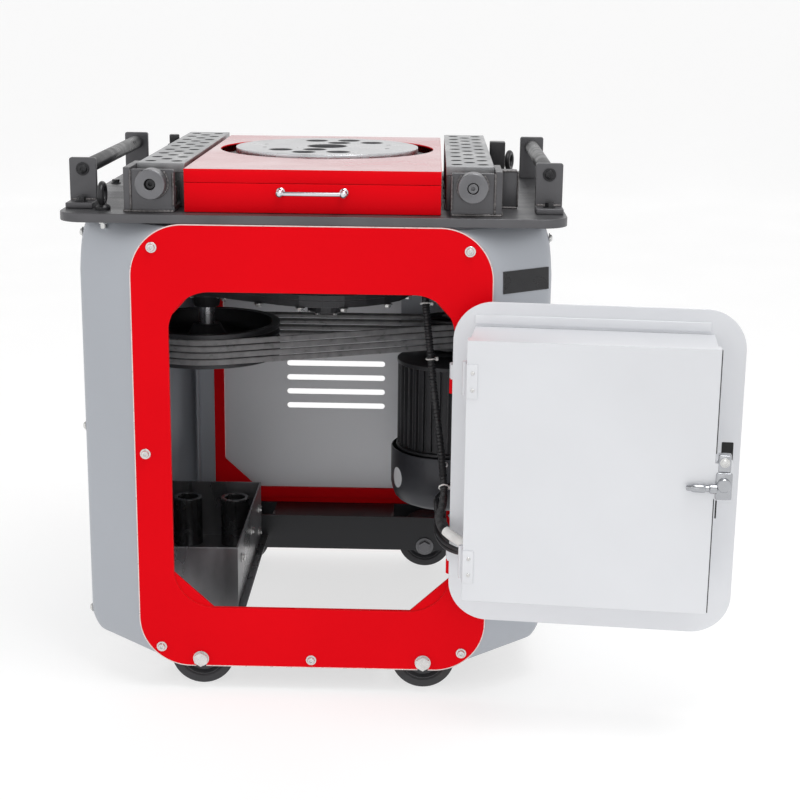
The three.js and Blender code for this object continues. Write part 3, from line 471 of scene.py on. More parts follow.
# ---------------- side covers ----------------
def side_cover(sgn):
    Fp, Gp, Mp = [], [], []
    a0, n = 72, 22
    top = [(389, -16.5), (395.2, -30), (399.2, -44), (401.5, -58), (403.6, -75), (404.9, -92), (406, -108)]
    for i in range(n + 1):
        t = math.radians(a0 - a0 * i / n)
        Fp.append((214 + 90 * math.cos(t), -105.3 + 90 * math.sin(t))); Gp.append((214 + 50 * math.cos(t), -105.3 + 50 * math.sin(t)))
        u = i / n * 6; k = min(int(u), 5); w = u - k
        Mp.append((top[k][0] * (1 - w) + top[k + 1][0] * w, top[k][1] * (1 - w) + top[k + 1][1] * w))
    for z in (-250, -400, -560):
        Fp.append((304, z)); Gp.append((264, z)); Mp.append((406, z))
    for i in range(15):
        t = math.radians(51 * i / 14); u = math.radians(37.7 * i / 14)
        Fp.append((214 + 90 * math.cos(t), -711 - 90 * math.sin(t))); Gp.append((214 + 50 * math.cos(t), -711 - 50 * math.sin(t)))
        Mp.append((343 + 63 * math.cos(u), -725 - 63 * math.sin(u)))
    # plan section: flange, bend, flare, bend, flat side and the same again behind; bends get a small radius
    bm = bmesh.new(); rows = []
    for f, g, q in zip(Fp, Gp, Mp):
        pts = [(g[0], 3.6, g[1])]
        def near(a, b, d):
            a, b = Vector(a), Vector(b); L = (b - a).length
            return a + (b - a) * min(0.4, d / max(L, 1e-6))
        f1, m1, m2, f2, g2 = (f[0], 3.6, f[1]), (q[0], 81, q[1]), (q[0], 641, q[1]), (f[0], 718.4, f[1]), (g[0], 718.4, g[1])
        chain = [(g[0], 3.6, g[1]), f1, m1, m2, f2, g2]
        out = [Vector(chain[0])]
        for k in range(1, 5):
            p0, p1, p2 = near(chain[k], chain[k - 1], 6 if k in (1, 4) else 16), Vector(chain[k]), near(chain[k], chain[k + 1], 6 if k in (1, 4) else 16)
            for j in range(5):
                t = j / 4
                out.append(p0 * (1 - t) ** 2 + p1 * 2 * t * (1 - t) + p2 * t * t)
        out.append(Vector(chain[5]))
        rows.append([bm.verts.new((sgn * v.x, v.y, v.z)) for v in out])
    for A, B in zip(rows, rows[1:]):
        for i in range(len(A) - 1):
            bm.faces.new((A[i], A[i + 1], B[i + 1], B[i]))
    bmesh.ops.recalc_face_normals(bm, faces=bm.faces)
    # make the first side face outward, then thicken inward
    f0 = max(bm.faces, key=lambda fc: fc.calc_area())
    if f0.normal.x * sgn < 0:
        bmesh.ops.reverse_faces(bm, faces=bm.faces)
    bm.normal_update()
    shell = bmesh.ops.solidify(bm, geom=bm.faces[:], thickness=1.6)
    tag = "right" if sgn > 0 else "left"
    me = bpy.data.meshes.new("side_sheet_" + tag); bm.to_mesh(me); bm.free()
    return finish_mesh("side_sheet_" + tag, me, SILVER, F, sharp=40, rep=("side_cover_" + tag,))

for s in (-1, 1):
    side_cover(s)
def side_bolts():
    it = []
    for z in (-45, -390, -733):
        for y in (100, 620):
            for s in (-1, 1):
                x = 399.6 if z == -45 else 406.1
                it.append(((s * x, y, z), "+x" if s > 0 else "-x"))
    return it
# the box's widest place is the table edge, so these stay well inside it
bolts("side_bolts", side_bolts(), F, r=6.4, h=4.5, kind="dome")
def flare_plate():
    bm = bmesh.new(); g = []
    for off in (0.5, 1.5):
        row = []
        for z in (-90, -128):
            t = math.acos(min(1, max(-1, (-z - 105.3) / 90))) if z > -105.3 else 0
            fx = 304 if z < -105.3 else 214 + 90 * math.cos(math.asin((z + 105.3) / 90))
            mx_ = 406 if z < -108 else 404.9 + (406 - 404.9) * (-z - 92) / 16
            for u in (0.16, 0.94):
                v = Vector((fx + (mx_ - fx) * u, 3.6 + (81 - 3.6) * u, z)) + Vector((0.6, -0.8, 0)) * off
                row.append(v)
        g.append([bm.verts.new(v) for v in row])
    a, b = g
    for q in ((a[0], a[1], a[3], a[2]), (b[0], b[1], b[3], b[2]), (a[0], a[1], b[1], b[0]), (a[2], a[3], b[3], b[2]), (a[0], a[2], b[2], b[0]), (a[1], a[3], b[3], b[1])):
        bm.faces.new(q)
    bmesh.ops.recalc_face_normals(bm, faces=bm.faces)
    bmesh.ops.bevel(bm, geom=[e for e in bm.edges], offset=0.3, segments=2, affect="EDGES")
    return finish_mesh("flare_plate_blank", bm_mesh("fp", bm), BLACK, F)
flare_plate()

# ---------------- beams, wheels -----------------------
def front_beam():
    parts = []
    holes = [circ(s * 196, -786.5, 8.2, 24) for s in (-1, 1)]
    parts.append(plate_mesh("bw", [[(-242, -796), (242, -796), (242, -723), (-242, -723)]] + holes, "y", 8.6, 13.6, 0.8))
    parts.append(plate_mesh("bw", [[(-242, -796), (242, -796), (242, -735), (-242, -735)]] + holes, "y", 99, 104, 0.8))
    parts.append(rbox_mesh("bf", -128, 128, 13.3, 99.4, -740, -735, 0.8))
    finish_mesh("front_channel", merge("front_channel", parts), BEAM, F, rep=("front_beam",))
front_beam()
for tag, y0, sgn in (("front", 22, -1), ("rear", 650, 1)):
    for s, side in ((-1, "left"), (1, "right")):
        body = "wheel_%s_%s" % (tag, side)
        tyre = [(40, y0 + 3), (43, y0), (53, y0), (55.6, y0 + 1), (56.5, y0 + 3.5), (56.5, y0 + 46.5), (55.6, y0 + 49), (53, y0 + 50), (43, y0 + 50), (40, y0 + 47)]
        hub = [(8.5, y0 + 1), (18, y0 + 1), (19, y0 + 2), (19, y0 + 9), (22, y0 + 11), (34, y0 + 9), (37, y0 + 5), (39.8, y0 + 2), (39.8, y0 + 48), (37, y0 + 45), (34, y0 + 41), (22, y0 + 39), (19, y0 + 41), (19, y0 + 48), (18, y0 + 49), (8.5, y0 + 49)]
        lathe("tyre_%s_%s" % (tag, side), tyre, "y", s * 196, -786.5, RUBBER, body, 72, rep=("wheel_%s_%s" % (tag, side),))
        lathe("rim_%s_%s" % (tag, side), hub, "y", s * 196, -786.5, CAST, body, 56)
        if sgn > 0:
            lathe("axle_washer_%s_%s" % (tag, side), [(8.2, 617.6), (18.5, 617.6), (18.5, 615), (8.2, 615)], "y", s * 196, -786.5, BOSSM, F, 40)
        else:
            lathe("axle_washer_%s_%s" % (tag, side), [(8.2, -0.1), (13.8, -0.1), (14, -0.4), (14, -1.4), (8.2, -1.4)], "y", s * 196, -786.5, BOLT, F, 40)
welds("beam_welds", [((-240, 8, -722.6), (240, 8, -722.6)), ((-127, 623.4, -723), (-127, 650, -723)), ((127, 623.4, -723), (127, 650, -723))], F)

# ---------------- top cover ----------------
def cover_shell():
    top = plate_mesh("ct", [[(-214.2, 30), (214.2, 30), (214.2, 681), (-214.2, 681)], circ(0, 420, 200, 96)], "z", 70, 73, 0.9)
    # up-facing faces get the darker red copy: painted reflection and shade on the top
    for p in top.polygons:
        p.material_index = 1 if p.normal[2] > 0.9 else 0
    parts = [top]
    side = [(33.1, 0.4), (680.4, 0.4), (680.4, 70.5), (30.6, 70.5), (30.6, 50.4), (33.1, 50.4)]
    for a, b in ((-214.1, -211.3), (211.3, 214.1)):
        parts.append(plate_mesh("cs", [side], "x", a, b, 0.4))
    parts.append(rbox_mesh("cf", -213.9, 213.9, 30.05, 32.9, 50.35, 71, 0.8))
    parts.append(rbox_mesh("cb", -213.9, 213.9, 678, 680.9, 0.4, 71, 0.8))
    finish_mesh("cover_shell", merge("cover_shell", parts), [RED, TOPRED_PAINTED_REFLECTION], F, rep=("top_cover",))
    tray = [rbox_mesh("tf", -213.9, 213.9, 30.05, 32.5, 0.8, 49.75, 0.7)]
    for x0, x1, y0, y1, z0, z1 in ((-195, -193, 32.4, 212, 9, 48), (193, 195, 32.4, 212, 9, 48), (-194, 194, 210, 212, 9, 48), (-194, 194, 32.4, 34.4, 9, 48), (-194, 194, 33, 211, 9, 11)):
        tray.append(rbox_mesh("tw", x0, x1, y0, y1, z0, z1, 0.5, 2))
    finish_mesh("drawer_sheet", merge("drawer_sheet", tray), RED, "drawer", rep=("drawer_tray",))
cover_shell()
def handle():
    pts = [(-52.7, 29.6, 36), (-52.7, 20, 36), (-52.2, 13, 36), (-49.8, 8.6, 36), (-45, 6.6, 36), (-30, 6, 36), (0, 5.8, 36), (30, 6, 36), (45, 6.6, 36), (49.8, 8.6, 36), (52.2, 13, 36), (52.7, 20, 36), (52.7, 29.6, 36)]
    parts = [tube_mesh("bow", smooth_path(pts, 90), 3.7, 18)]
    for x in (-52.7, 52.7):
        parts.append(lathe_mesh("foot", [(0, 29.8), (7.6, 29.8), (7.8, 29.2), (7.8, 27.6), (7.2, 26.8), (5.6, 25.6), (5.2, 23), (0, 23)], "y", x, 36, 32, closed=False))
        parts.append(lathe_mesh("ball", [(0, 0.6), (3.6, 1.2), (5.6, 3.2), (6.2, 6), (5.6, 8.8), (3.6, 10.8), (0, 11.4)], "y", x, 36, 32, closed=False))
    return finish_mesh("drawer_bow", merge("drawer_bow", parts), CHROME, "drawer", rep=("drawer_handle",))
for_handle = handle()

# ---------------- turning disc ----------------
def disc():
    hs = []
    for s in (-1, 1):
        for a in (-1, 1):
            for b in (-1, 1):
                hs.append((s * 27 + a * 31.25 + b * 23, 420 + s * 94 + a * 4.25 - b * 21.75))
    ob = plate("disc_plate", [circ(0, 420, 171.4, 128), circ(0, 420, 36, 56)] + [circ(x, y, 20, 36) for x, y in hs], "z", 62, 77, [DISCM, MACH, DARK], "turntable", bevel=1.2, edge=None, rep=("turntable_disc",))
    for p in ob.data.polygons:
        if abs(p.normal[2]) < 0.75:
            q = BASE.inverted() @ p.center
            p.material_index = 1 if math.hypot(q.x, q.y - 420) > 165 else 2
    # dark rings flush round the sockets' rims, and the fixing screws
    me = []
    for x, y in hs + [(0, 420)]:
        r = 36 if (x, y) == (0, 420) else 20
        me.append(lathe_mesh("lip", [(r + 0.2, 76.6), (r + 2.2, 76.6), (r + 2.6, 77.05), (r + 0.6, 77.1)], "z", x, y, 40))
    finish_mesh("disc_lips", merge("disc_lips", me), DARK, "turntable")
    bolts("disc_screws", [((120 * math.cos(math.radians(a)), 420 + 120 * math.sin(math.radians(a)), 76.2), "+z") for a in (168, -18, 17, 197)], "turntable", r=5.5, h=1.0, kind="dome", washer=False, mtl=DARK)
disc()
lathe("disc_bearing_ring", [(176, 44), (196, 44), (196, 58), (193, 60), (179, 60), (176, 58)], "z", 0, 420, DARK, F, 96)
# near-black sheet on the table top under the disc: painted shade in the pit
rbox("disc_pit_painted_shade", -196, 196, 224, 616, 0.4, 3, HOLE_SHADE, F, 0.8)

# ---------------- perforated bars ----------------
def bar(sgn):
    tag = "right" if sgn > 0 else "left"
    hs = []
    for i in range(9):
        y = 131 + i * 69.5
        hs += [(sgn * 240.5, y), (sgn * 285.5, y), (sgn * 263, y + 34.7 if i < 8 else y + 26)]
    x0, x1 = sorted((sgn * 222.4, sgn * 303.6))
    top = plate_mesh("bt", [[(x0, 98), (x1, 98), (x1, 722), (x0, 722)]] + [circ(x, y, 9.5, 24) for x, y in hs if y + 9.5 < 720] , "z", 59.1, 75.1, 1.0)
    for p in top.polygons:
        c = p.center
        inner = x0 + 2 < c.x < x1 - 2 and 100 < c.y < 720
        p.material_index = 1 if abs(p.normal[2]) < 0.85 and inner else 0
    parts = [top]
    body = finish_mesh("bar_top_" + tag, merge("bar_top_" + tag, parts), [ZINC, BLACK], F, rep=("bar_" + tag,))
    w = []
    for a, b in ((x0, x0 + 9), (x1 - 9, x1)):
        w.append(rbox_mesh("bw", a, b, 98.4, 721.6, 0.3, 59.3, 1.0))
    w.append(rbox_mesh("bi", x0 + 9, x1 - 9, 99, 721, 0.35, 2.5, 0.4))
    finish_mesh("bar_walls_" + tag, merge("bar_walls_" + tag, w), DARK, F)
    welds("bar_welds_" + tag, [((sgn * 222, 110 + 150 * k, 1.5), (sgn * 222, 165 + 150 * k, 1.5)) for k in range(4)], F, r=2.4)
for s in (-1, 1):
    bar(s)

# ---------------- bar end brackets, bosses, screws ----------------
def bar_bracket(sgn):
    tag = "right" if sgn > 0 else "left"
    X = lambda a, b: tuple(sorted((sgn * a, sgn * b)))
    parts = []
    a, b = X(230, 303.2); parts.append(plate_mesh("bp", [rrect(a, b, 0.3, 71, 4, 6), circ(sgn * 266, 49, 9.4, 32)], "y", 30, 40, 0.9))
    a, b = X(230, 315); parts.append(rbox_mesh("bb", a, b, 30.4, 97, 0.3, 9, 1.0))
    a, b = X(304, 315)
    prof = [(30, 0.3), (168, 0.3), (168, 40), (140, 74), (30, 74)]
    parts.append(plate_mesh("bs", [prof], "x", a, b, 1.0))
    a, b = X(232, 303); parts.append(rbox_mesh("bk", a, b, 60, 70, 9, 40, 0.8))
    ob = finish_mesh("bar_end_" + tag, merge("bar_end_" + tag, parts), DARK, F, rep=("bar_bracket_" + tag,))
    boss = lathe_mesh("boss", [(9.6, 0.6), (10.6, 0), (23.6, 0), (25, 1.4), (25, 30), (9.6, 30)], "y", sgn * 266, 49, 72)
    finish_mesh("boss_" + tag, boss, BOSSM, F)
    ring = [Vector((sgn * 266 + 26 * math.cos(t / 24 * math.tau), 29.4, 49 + 26 * math.sin(t / 24 * math.tau))) for t in range(24) if 49 + 26 * math.sin(t / 24 * math.tau) < 71]
    ring = ring[ring.index(min(ring, key=lambda v: v.x if v.z > 60 else 1e9)):] + ring[:ring.index(min(ring, key=lambda v: v.x if v.z > 60 else 1e9))]
    seg = [((sgn * 232, 29.2, 10), (sgn * 232, 29.2, 66)), ((sgn * 303, 29.4, 4), (sgn * 303, 29.4, 70)), ((sgn * 315.5, 34, 1.5), (sgn * 315.5, 164, 1.5)), ((sgn * 232, 29.2, 1.5), (sgn * 314, 29.2, 1.5))]
    for k in range(24):
        t0, t1 = k / 24 * math.tau, (k + 1) / 24 * math.tau
        if 49 + 26 * math.sin(t0) < 70 and 49 + 26 * math.sin(t1) < 70:
            seg.append(((sgn * 266 + 26 * math.cos(t0), 29.2, 49 + 26 * math.sin(t0)), (sgn * 266 + 26 * math.cos(t1), 29.2, 49 + 26 * math.sin(t1))))
    welds("bracket_welds_" + tag, seg, F, r=2.3)
    # threaded screw with a socket end
    n = 260; path = []
    y0 = 7.5 if sgn < 0 else 1.0
    th = [Vector((sgn * 266 + 8.4 * math.cos(k / 16 * math.tau), y0 + 3 + k / 16 * 2.6, 49 + 8.4 * math.sin(k / 16 * math.tau))) for k in range(16 * 33)]
    core = lathe_mesh("core", [(0, y0 + 7), (3.4, y0 + 7), (3.6, y0), (7.6, y0), (8.3, y0 + 1.2), (8.3, 90), (6.8, 96.6), (0, 96.6)], "y", sgn * 266, 49, 40, closed=False)
    finish_mesh("screw_" + tag + "_thread", merge("scr", [core, tube_mesh("th", th, 0.85, 6)]), BLKBOLT if sgn < 0 else BOSSM, "screw_" + tag, sharp=40, rep=("adjusting_screw_" + tag,))
for s in (-1, 1):
    bar_bracket(s)
# blocks beside the right-hand bracket
rbox("side_block_right", 318, 346, 138, 176, 0.4, 64, DARK, F, 2.2)
welds("side_block_welds", [((319, 137.6, 64), (345, 137.6, 64)), ((319, 138, 3), (319, 138, 62)), ((346, 138, 3), (346, 138, 62)), ((319, 137.6, 1.5), (345, 137.6, 1.5))], F, r=1.8)
rbox("rear_block_right", 312, 342, 560, 590, 0.4, 76, BLACK, F, 2)
lathe("rear_block_knob", [(0, 62), (9, 62), (10, 64), (10, 78), (9, 80), (0, 80)], "z", -318, 600, BLACK, F, 28, closed=False)
rbox("rear_block_left", -330, -306, 588, 612, 0.4, 62, BLACK, F, 2)

# ---------------- guide rollers ----------------
def roller_side(sgn):
    tag = "right" if sgn > 0 else "left"
    for fr in ("front", "rear"):
        Y = (lambda a, b: (a, b)) if fr == "front" else (lambda a, b: (722 - b, 722 - a))
        x0, x1 = sorted((sgn * 374, sgn * 420)); c = sgn * 397
        up = [(x0, 0.3), (x1, 0.3), (x1, 78.5), (x1 - 0.9, 80.8), (x1 - 3.2, 82), (x0 + 3.2, 82), (x0 + 0.9, 80.8), (x0, 78.5)]
        y0, y1 = Y(100, 110); foot = Y(60, 101)
        parts = [plate_mesh("ru", [up, circ(c, 63, 8.3, 28)], "y", y0, y1, 1.0), rbox_mesh("rf", x0, x1, foot[0], foot[1], 0.3, 10, 1.4)]
        finish_mesh("roller_stand_%s_%s" % (fr, tag), merge("rs", parts), DARK, F, rep=("roller_bracket_%s_%s" % (fr, tag),))
        yy = 80 if fr == "front" else 642
        bolts("roller_bolt_%s_%s" % (fr, tag), [((c, yy, 10), "+z")], F, mtl=BLKBOLT, r=8, h=7)
        yf, dr = (99.4, "-y") if fr == "front" else (622.6, "+y")
        bolts("roller_end_%s_%s" % (fr, tag), [((c, yf, 63), dr)], F, mtl=BLKBOLT, r=8.2, h=5, kind="dome")
        yw = 99.2 if fr == "front" else 622.8
        welds("roller_weld_%s_%s" % (fr, tag), [((x0 + 2, yw, 11), (x1 - 2, yw, 11))], F, r=2.2)
    lathe("roller_tube_" + tag, [(0, 97.5), (7.2, 97.5), (8, 98.3), (8, 111), (12.2, 111), (13, 112.4), (13, 609.6), (12.2, 611), (8, 611), (8, 623.7), (7.2, 624.5), (0, 624.5)], "y", sgn * 397, 63, BLACK, "roller_" + tag, 48, closed=False,
          rep=("guide_roller_" + tag,))
for s in (-1, 1):
    roller_side(s)

# ---------------- lifting eyes ----------------
def eye(tag, x, y, turn):
    pts = []
    for k in range(48):
        a = k / 48 * math.tau
        pts.append(Vector((x - 16.2 * math.cos(a) * math.sin(turn), y + 16.2 * math.cos(a) * math.cos(turn), 26.5 + 16.2 * math.sin(a))))
    parts = [tube_mesh("er", pts, 5.4, 16, closed=True), lathe_mesh("ec", [(0, 0.2), (13, 0.2), (13, 5), (11, 7.6), (7, 10.5), (0, 10.5)], "z", x, y, 40, closed=False)]
    finish_mesh("eye_" + tag, merge("eye", parts), BLACK, F, rep=("lifting_eye_" + tag,))
eye("front", -355, 53, 0.0); eye("rear", 357, 695, -0.31)

# ---------------- drive ----------------
BZ = (-276.3, -288.8, -301.3, -313.8)
def grooved(R, top, bottom, inner):
    pts = [(R - 0.8, top), (R, top - 0.8)]
    for z in BZ:
        pts += [(R, z + 5.9), (R - 0.5, z + 5.4), (R - 10.6, z + 2.2), (R - 11, z + 1.6), (R - 11, z - 1.6), (R - 10.6, z - 2.2), (R - 0.5, z - 5.4), (R, z - 5.9)]
    return pts + [(R, bottom + 0.8), (R - 0.8, bottom)] + inner
lathe("big_sheave", grooved(142, -262, -327, [(126, -327), (123, -322), (122, -306), (60, -302), (40, -306), (31, -314), (30, -342), (15.4, -342), (15.4, -266), (25, -266), (27, -268), (40, -292), (46, -294), (118, -296), (123, -292), (126, -286), (127, -262.5)]), "z", -234, 420, CAST, "input_drive", 112, rep=("big_pulley",))
rbox("sheave_key", -234 - 3, -234 + 3, 420 + 12, 420 + 19.2, -300, -266.5, BOLT, "input_drive", 0.6)
lathe("small_sheave", grooved(50, -266, -326, [(14, -326), (14, -411), (0, -411), (0, -263), (13.2, -263), (14, -263.8), (14, -266)]), "z", 238, 512, CAST, "motor_rotor", 72, closed=False, rep=("motor_pulley",))
def belt_path(dr, n1=90, n2=36):
    (ax, ay), (bx, by) = (-234, 420), (238, 512)
    d = math.hypot(bx - ax, by - ay); base = math.atan2(by - ay, bx - ax); tilt = math.acos((142 - 50) / d); out = []
    for i in range(n1 + 1):
        a = base + tilt + (math.tau - 2 * tilt) * i / n1; out.append((ax, ay, 142 + dr, a))
    for i in range(n2 + 1):
        a = base - tilt + 2 * tilt * i / n2; out.append((bx, by, 50 + dr, a))
    return [(x + r * math.cos(a), y + r * math.sin(a)) for x, y, r, a in out]
for j, z in enumerate(BZ):
    sec = [(2.3, 3.2), (1.9, 4.9), (1.2, 5.4), (0.1, 5.5), (-0.8, 4.9), (-7.9, 2.45), (-8.2, 2.0), (-8.2, -2.0), (-7.9, -2.45), (-0.8, -4.9), (0.1, -5.5), (1.2, -5.4), (1.9, -4.9), (2.3, -3.2)]
    bm = bmesh.new(); rings = []
    cols = [belt_path(dr) for dr, dz in sec]; n = len(cols[0])
    for k in range(n):
        rings.append([bm.verts.new((cols[i][k][0], cols[i][k][1], z + sec[i][1])) for i in range(len(sec))])
    for k in range(n):
        A, B = rings[k], rings[(k + 1) % n]
        for i in range(len(sec)):
            bm.faces.new((A[i], A[(i + 1) % len(sec)], B[(i + 1) % len(sec)], B[i]))
    finish_mesh("belt_%d" % (j + 1), bm_mesh("belt_%d" % (j + 1), bm), BELT, F, sharp=50, rep=("v_belt_%d" % (j + 1),))

bolts("gearbox_bolts", [((x, y, -203), "-z") for x, y in ((-262, 392), (-268, 440), (-226, 540), (-160, 606), (-96, 604), (0, 577), (110, 540), (150, 470), (156, 400), (120, 312), (40, 264), (-40, 264), (-120, 300), (-190, 350))], F, r=6.5, h=5)
bolts("bearing_cap_bolts", [((34 * math.cos(math.radians(a)), 420 + 34 * math.sin(math.radians(a)), -238), "-z") for a in (0, 60, 120, 180, 240, 300)], F, r=4.5, h=3.5, washer=False)
bolts("input_cap_bolts", [((-234 + 36 * math.cos(math.radians(a)), 420 + 36 * math.sin(math.radians(a)), -209), "-z") for a in (45, 135, 225, 315)], F, r=4.8, h=3.8, washer=False)

# ---------------- motor ----------------
mx, my = 238, 512
parts = [lathe_mesh("mb", [(0, -335.2), (30, -335.2), (32, -336), (36, -341), (60, -342), (66, -345), (97, -346), (102.5, -349), (102.5, -356), (94, -357), (92.5, -360), (92.5, -524), (103, -525), (103, -529.6), (0, -529.6)], "z", mx, my, 96, closed=False)]
for i in range(36):
    a = i / 36 * math.tau
    if abs(((math.degrees(a) + 180) % 360) - 180) < 18 or abs(math.degrees(a) - 90) < 22:
        continue
    fin = rbox_mesh("fin", 91, 101, -1.3, 1.3, -522, -358, 0.8, 2)
    fin.transform(Matrix.Translation((mx, my, 0)) @ Matrix.Rotation(a, 4, "Z"))
    parts.append(fin)
parts += [rbox_mesh("tb", 333, 374, 470, 554, -470, -392, 4), rbox_mesh("mf", mx - 60, mx + 60, my + 80, 631.7, -520, -370, 4)]
finish_mesh("motor_case", merge("motor_case", parts), CAST, F, rep=("motor_body",))
parts = [lathe_mesh("cw", [(110.5, -530), (112.4, -530.6), (113, -532), (113, -604), (111, -615), (105, -631), (98, -638), (84, -644), (60, -646.6), (40, -647), (40, -645), (60, -644.6), (83, -642), (96, -636), (103, -629.6), (109, -614), (111, -603), (111, -532)], "z", mx, my, 96)]
for i in range(5):
    r = 8 + i * 7.4
    parts.append(lathe_mesh("gr", [(r, -644.6), (r + 3, -644.6), (r + 3, -647), (r, -647)], "z", mx, my, 48))
for i in range(8):
    a = i / 8 * math.tau
    s_ = rbox_mesh("sp", 6, 42, -1.4, 1.4, -644.9, -643, 0.4, 1); s_.transform(Matrix.Translation((mx, my, 0)) @ Matrix.Rotation(a, 4, "Z")); parts.append(s_)
finish_mesh("fan_cowl", merge("fan_cowl", parts), COWL, F, rep=("motor_fan_cowl",))
bolts("cowl_screws", [((mx + 113 * math.cos(math.radians(a)), my + 113 * math.sin(math.radians(a)), -540), "-y") for a in (268,)], F, r=4, h=3, kind="dome")
# blank oval label on the cowl
bm = bmesh.new(); ring = []; N_ = 40
cen = math.radians(209)
for k in range(N_):
    t = k / N_ * math.tau; a = cen + 0.15 * math.cos(t) ; z = -585 + 21 * math.sin(t)
    ring.append(bm.verts.new((mx + 113.5 * math.cos(a), my + 113.5 * math.sin(a), z)))
c_ = bm.verts.new((mx + 113.7 * math.cos(cen), my + 113.7 * math.sin(cen), -585))
for k in range(N_): bm.faces.new((ring[k], ring[(k + 1) % N_], c_))
finish_mesh("cowl_label_blank", bm_mesh("cl", bm), LABEL, F)

# ---------------- bin and sleeves ----------------
for i, x in ((1, -300), (2, -202)):
    lathe("sleeve_tube_%d" % i, [(21, -765.5), (22, -766.6), (28.5, -766.6), (29.5, -765.6), (29.5, -666.2), (28.3, -665), (22.2, -665), (21, -666.2)], "z", x, 560, SLEEVE, F, 64, rep=("sleeve_%d" % i,))
rbox("bin_flange_bottom", -153, -139, 201, 616, -769.8, -767.4, BINM, F, 0.6)
rbox("bin_top_fold", -385.6, -153.4, 199.6, 203, -652.2, -649.8, BINM, F, 0.6)
bolts("bin_bolts", [((-152.9, y, z), "+x") for y, z in ((260, -690), (420, -690), (560, -690), (560, -740))], F, r=6.5, h=5)
welds("bin_welds", [((-155, 203, -768), (-155, 612, -768))], F, r=2)

# ---------------- door, electric box, lid ----------------
DB = "front_door"
def n_(v): return -v
leaf = plate_mesh("leaf", [rrect(0.6, 477.5, -688, -131.5, 67)], "y", n_(16.2), n_(13.2), 0.5)
parts = [leaf]
for z in (-266, -586):
    parts.append(lathe_mesh("k", [(0, z), (5.6, z), (6, z + 0.5), (6, z + 25.5), (5.6, z + 26), (0, z + 26)], "z", 0, 0, 24, closed=False))
    parts.append(rbox_mesh("ka", -2.8, 2.8, n_(13.4), 0, z + 0.4, z + 25.6, 0.6))
    parts.append(rbox_mesh("kl", -2.8, 30, n_(13.3), n_(10.4), z + 0.4, z + 25.6, 0.6))
finish_mesh("door_leaf", merge("door_leaf", parts), DOORP, DB, M=DOOR, rep=("door_panel",))
rbox("box_top_flange", 36, 419, n_(19), n_(16.3), -168, -153, DOORP, DB, 0.6, M=DOOR)
# a thin dark strip along the seam between the box and the lid
rbox("box_lid_seam_dark_strip", 38.4, 424, n_(142.9), n_(139), -172.4, -170.0, BLACK_PLASTIC_AND_SHADOW, DB, 0.5, M=DOOR)
# lid hinges
parts = []
for z0, z1 in ((-264, -208), (-574, -518)):
    parts.append(lathe_mesh("lk", [(0, z0), (4, z0), (4.4, z0 + 0.6), (4.4, z1 - 0.6), (4, z1), (0, z1)], "z", 29.5, n_(121.5), 20, closed=False))
finish_mesh("lid_hinge_pins", merge("lid_hinge_pins", parts), DOORP, DB, M=DOOR)
parts = []
for z0, z1 in ((-264, -208), (-574, -518)):
    parts.append(rbox_mesh("ll", 32.4, 34.2, n_(145), n_(123), z0, z1, 0.5))
    parts.append(rbox_mesh("lf", 34.2, 52, n_(148.2), n_(146.6), z0, z1, 0.6))
finish_mesh("lid_hinge_leaves", merge("lid_hinge_leaves", parts), DOORP, "box_lid", M=DOOR)
bolts("lid_hinge_screws", [((44, n_(148.2), z), "-y") for z in (-222, -250, -532, -560)], "box_lid", M=DOOR, r=3.2, h=1.4, kind="dome", washer=False)
# lock: slotted plate, screw, body with keeper, bullet-shaped quick key
# the slot is a dark decal on the leaf face: painted shade for the opening
decal("lock_slot", [rrect(447, 466, -398, -352, 1.5, 3)], "y", n_(16.5), HOLE_SHADE, DB, M=DOOR, t=0.5)
parts = [rbox_mesh("lb", 430, 456.4, n_(149.6), n_(120), -411, -366, 3.5), rbox_mesh("lb2", 433, 453, n_(148), n_(130), -366, -338, 2)]
finish_mesh("lock_body", merge("lock_body", parts), GREYCHROME, "box_lid", M=DOOR)
bolts("lock_screw", [((443, n_(148), -350), "-y")], "box_lid", M=DOOR, r=5.6, h=3, kind="dome")
# dark decal on the lid: painted shade for the slit
decal("lock_slit", [rrect(431.5, 434, -442, -412, 0.8, 3)], "y", n_(146.9), HOLE_SHADE, "box_lid", M=DOOR, t=0.5)
kz = -391.5; ky = n_(FRONT_FACE + 7)
key = [lathe_mesh("kc", [(0, 0.4), (10.6, 0.4), (11, 1), (11, 7.6), (10, 9), (0, 9)], "z", 0, 0, 40, closed=False)]
key[0].transform(Matrix.Translation((443, n_(149.8), -385)) @ DIRS["-y"])
key[0].transform(Matrix.Translation((0, 0, 0)))
bul = lathe_mesh("kb", [(0, 384), (3, 384.6), (4.6, 387), (4.8, 392), (5.4, 393), (6.6, 396), (6.8, 412), (6, 414), (5, 415), (5, 420), (7.4, 422), (7.6, 432), (0, 434)], "x", ky, kz, 36, closed=False)
key.append(bul)
finish_mesh("quick_key", merge("quick_key", key), GREYCHROME, "lid_lock", M=DOOR, rep=("lid_lock",))
# dark strips along the lid's right edge: painted shadow of the lid's edge, broken where the lock body stands
rbox("lid_edge_painted_shadow", 428.3, 430.0, n_(144), n_(137), -603, -412, BLACK_PLASTIC_AND_SHADOW, "box_lid", 0.5, M=DOOR)
rbox("lid_edge_painted_shadow_top", 428.3, 430.0, n_(144), n_(137), -337, -171, BLACK_PLASTIC_AND_SHADOW, "box_lid", 0.5, M=DOOR)
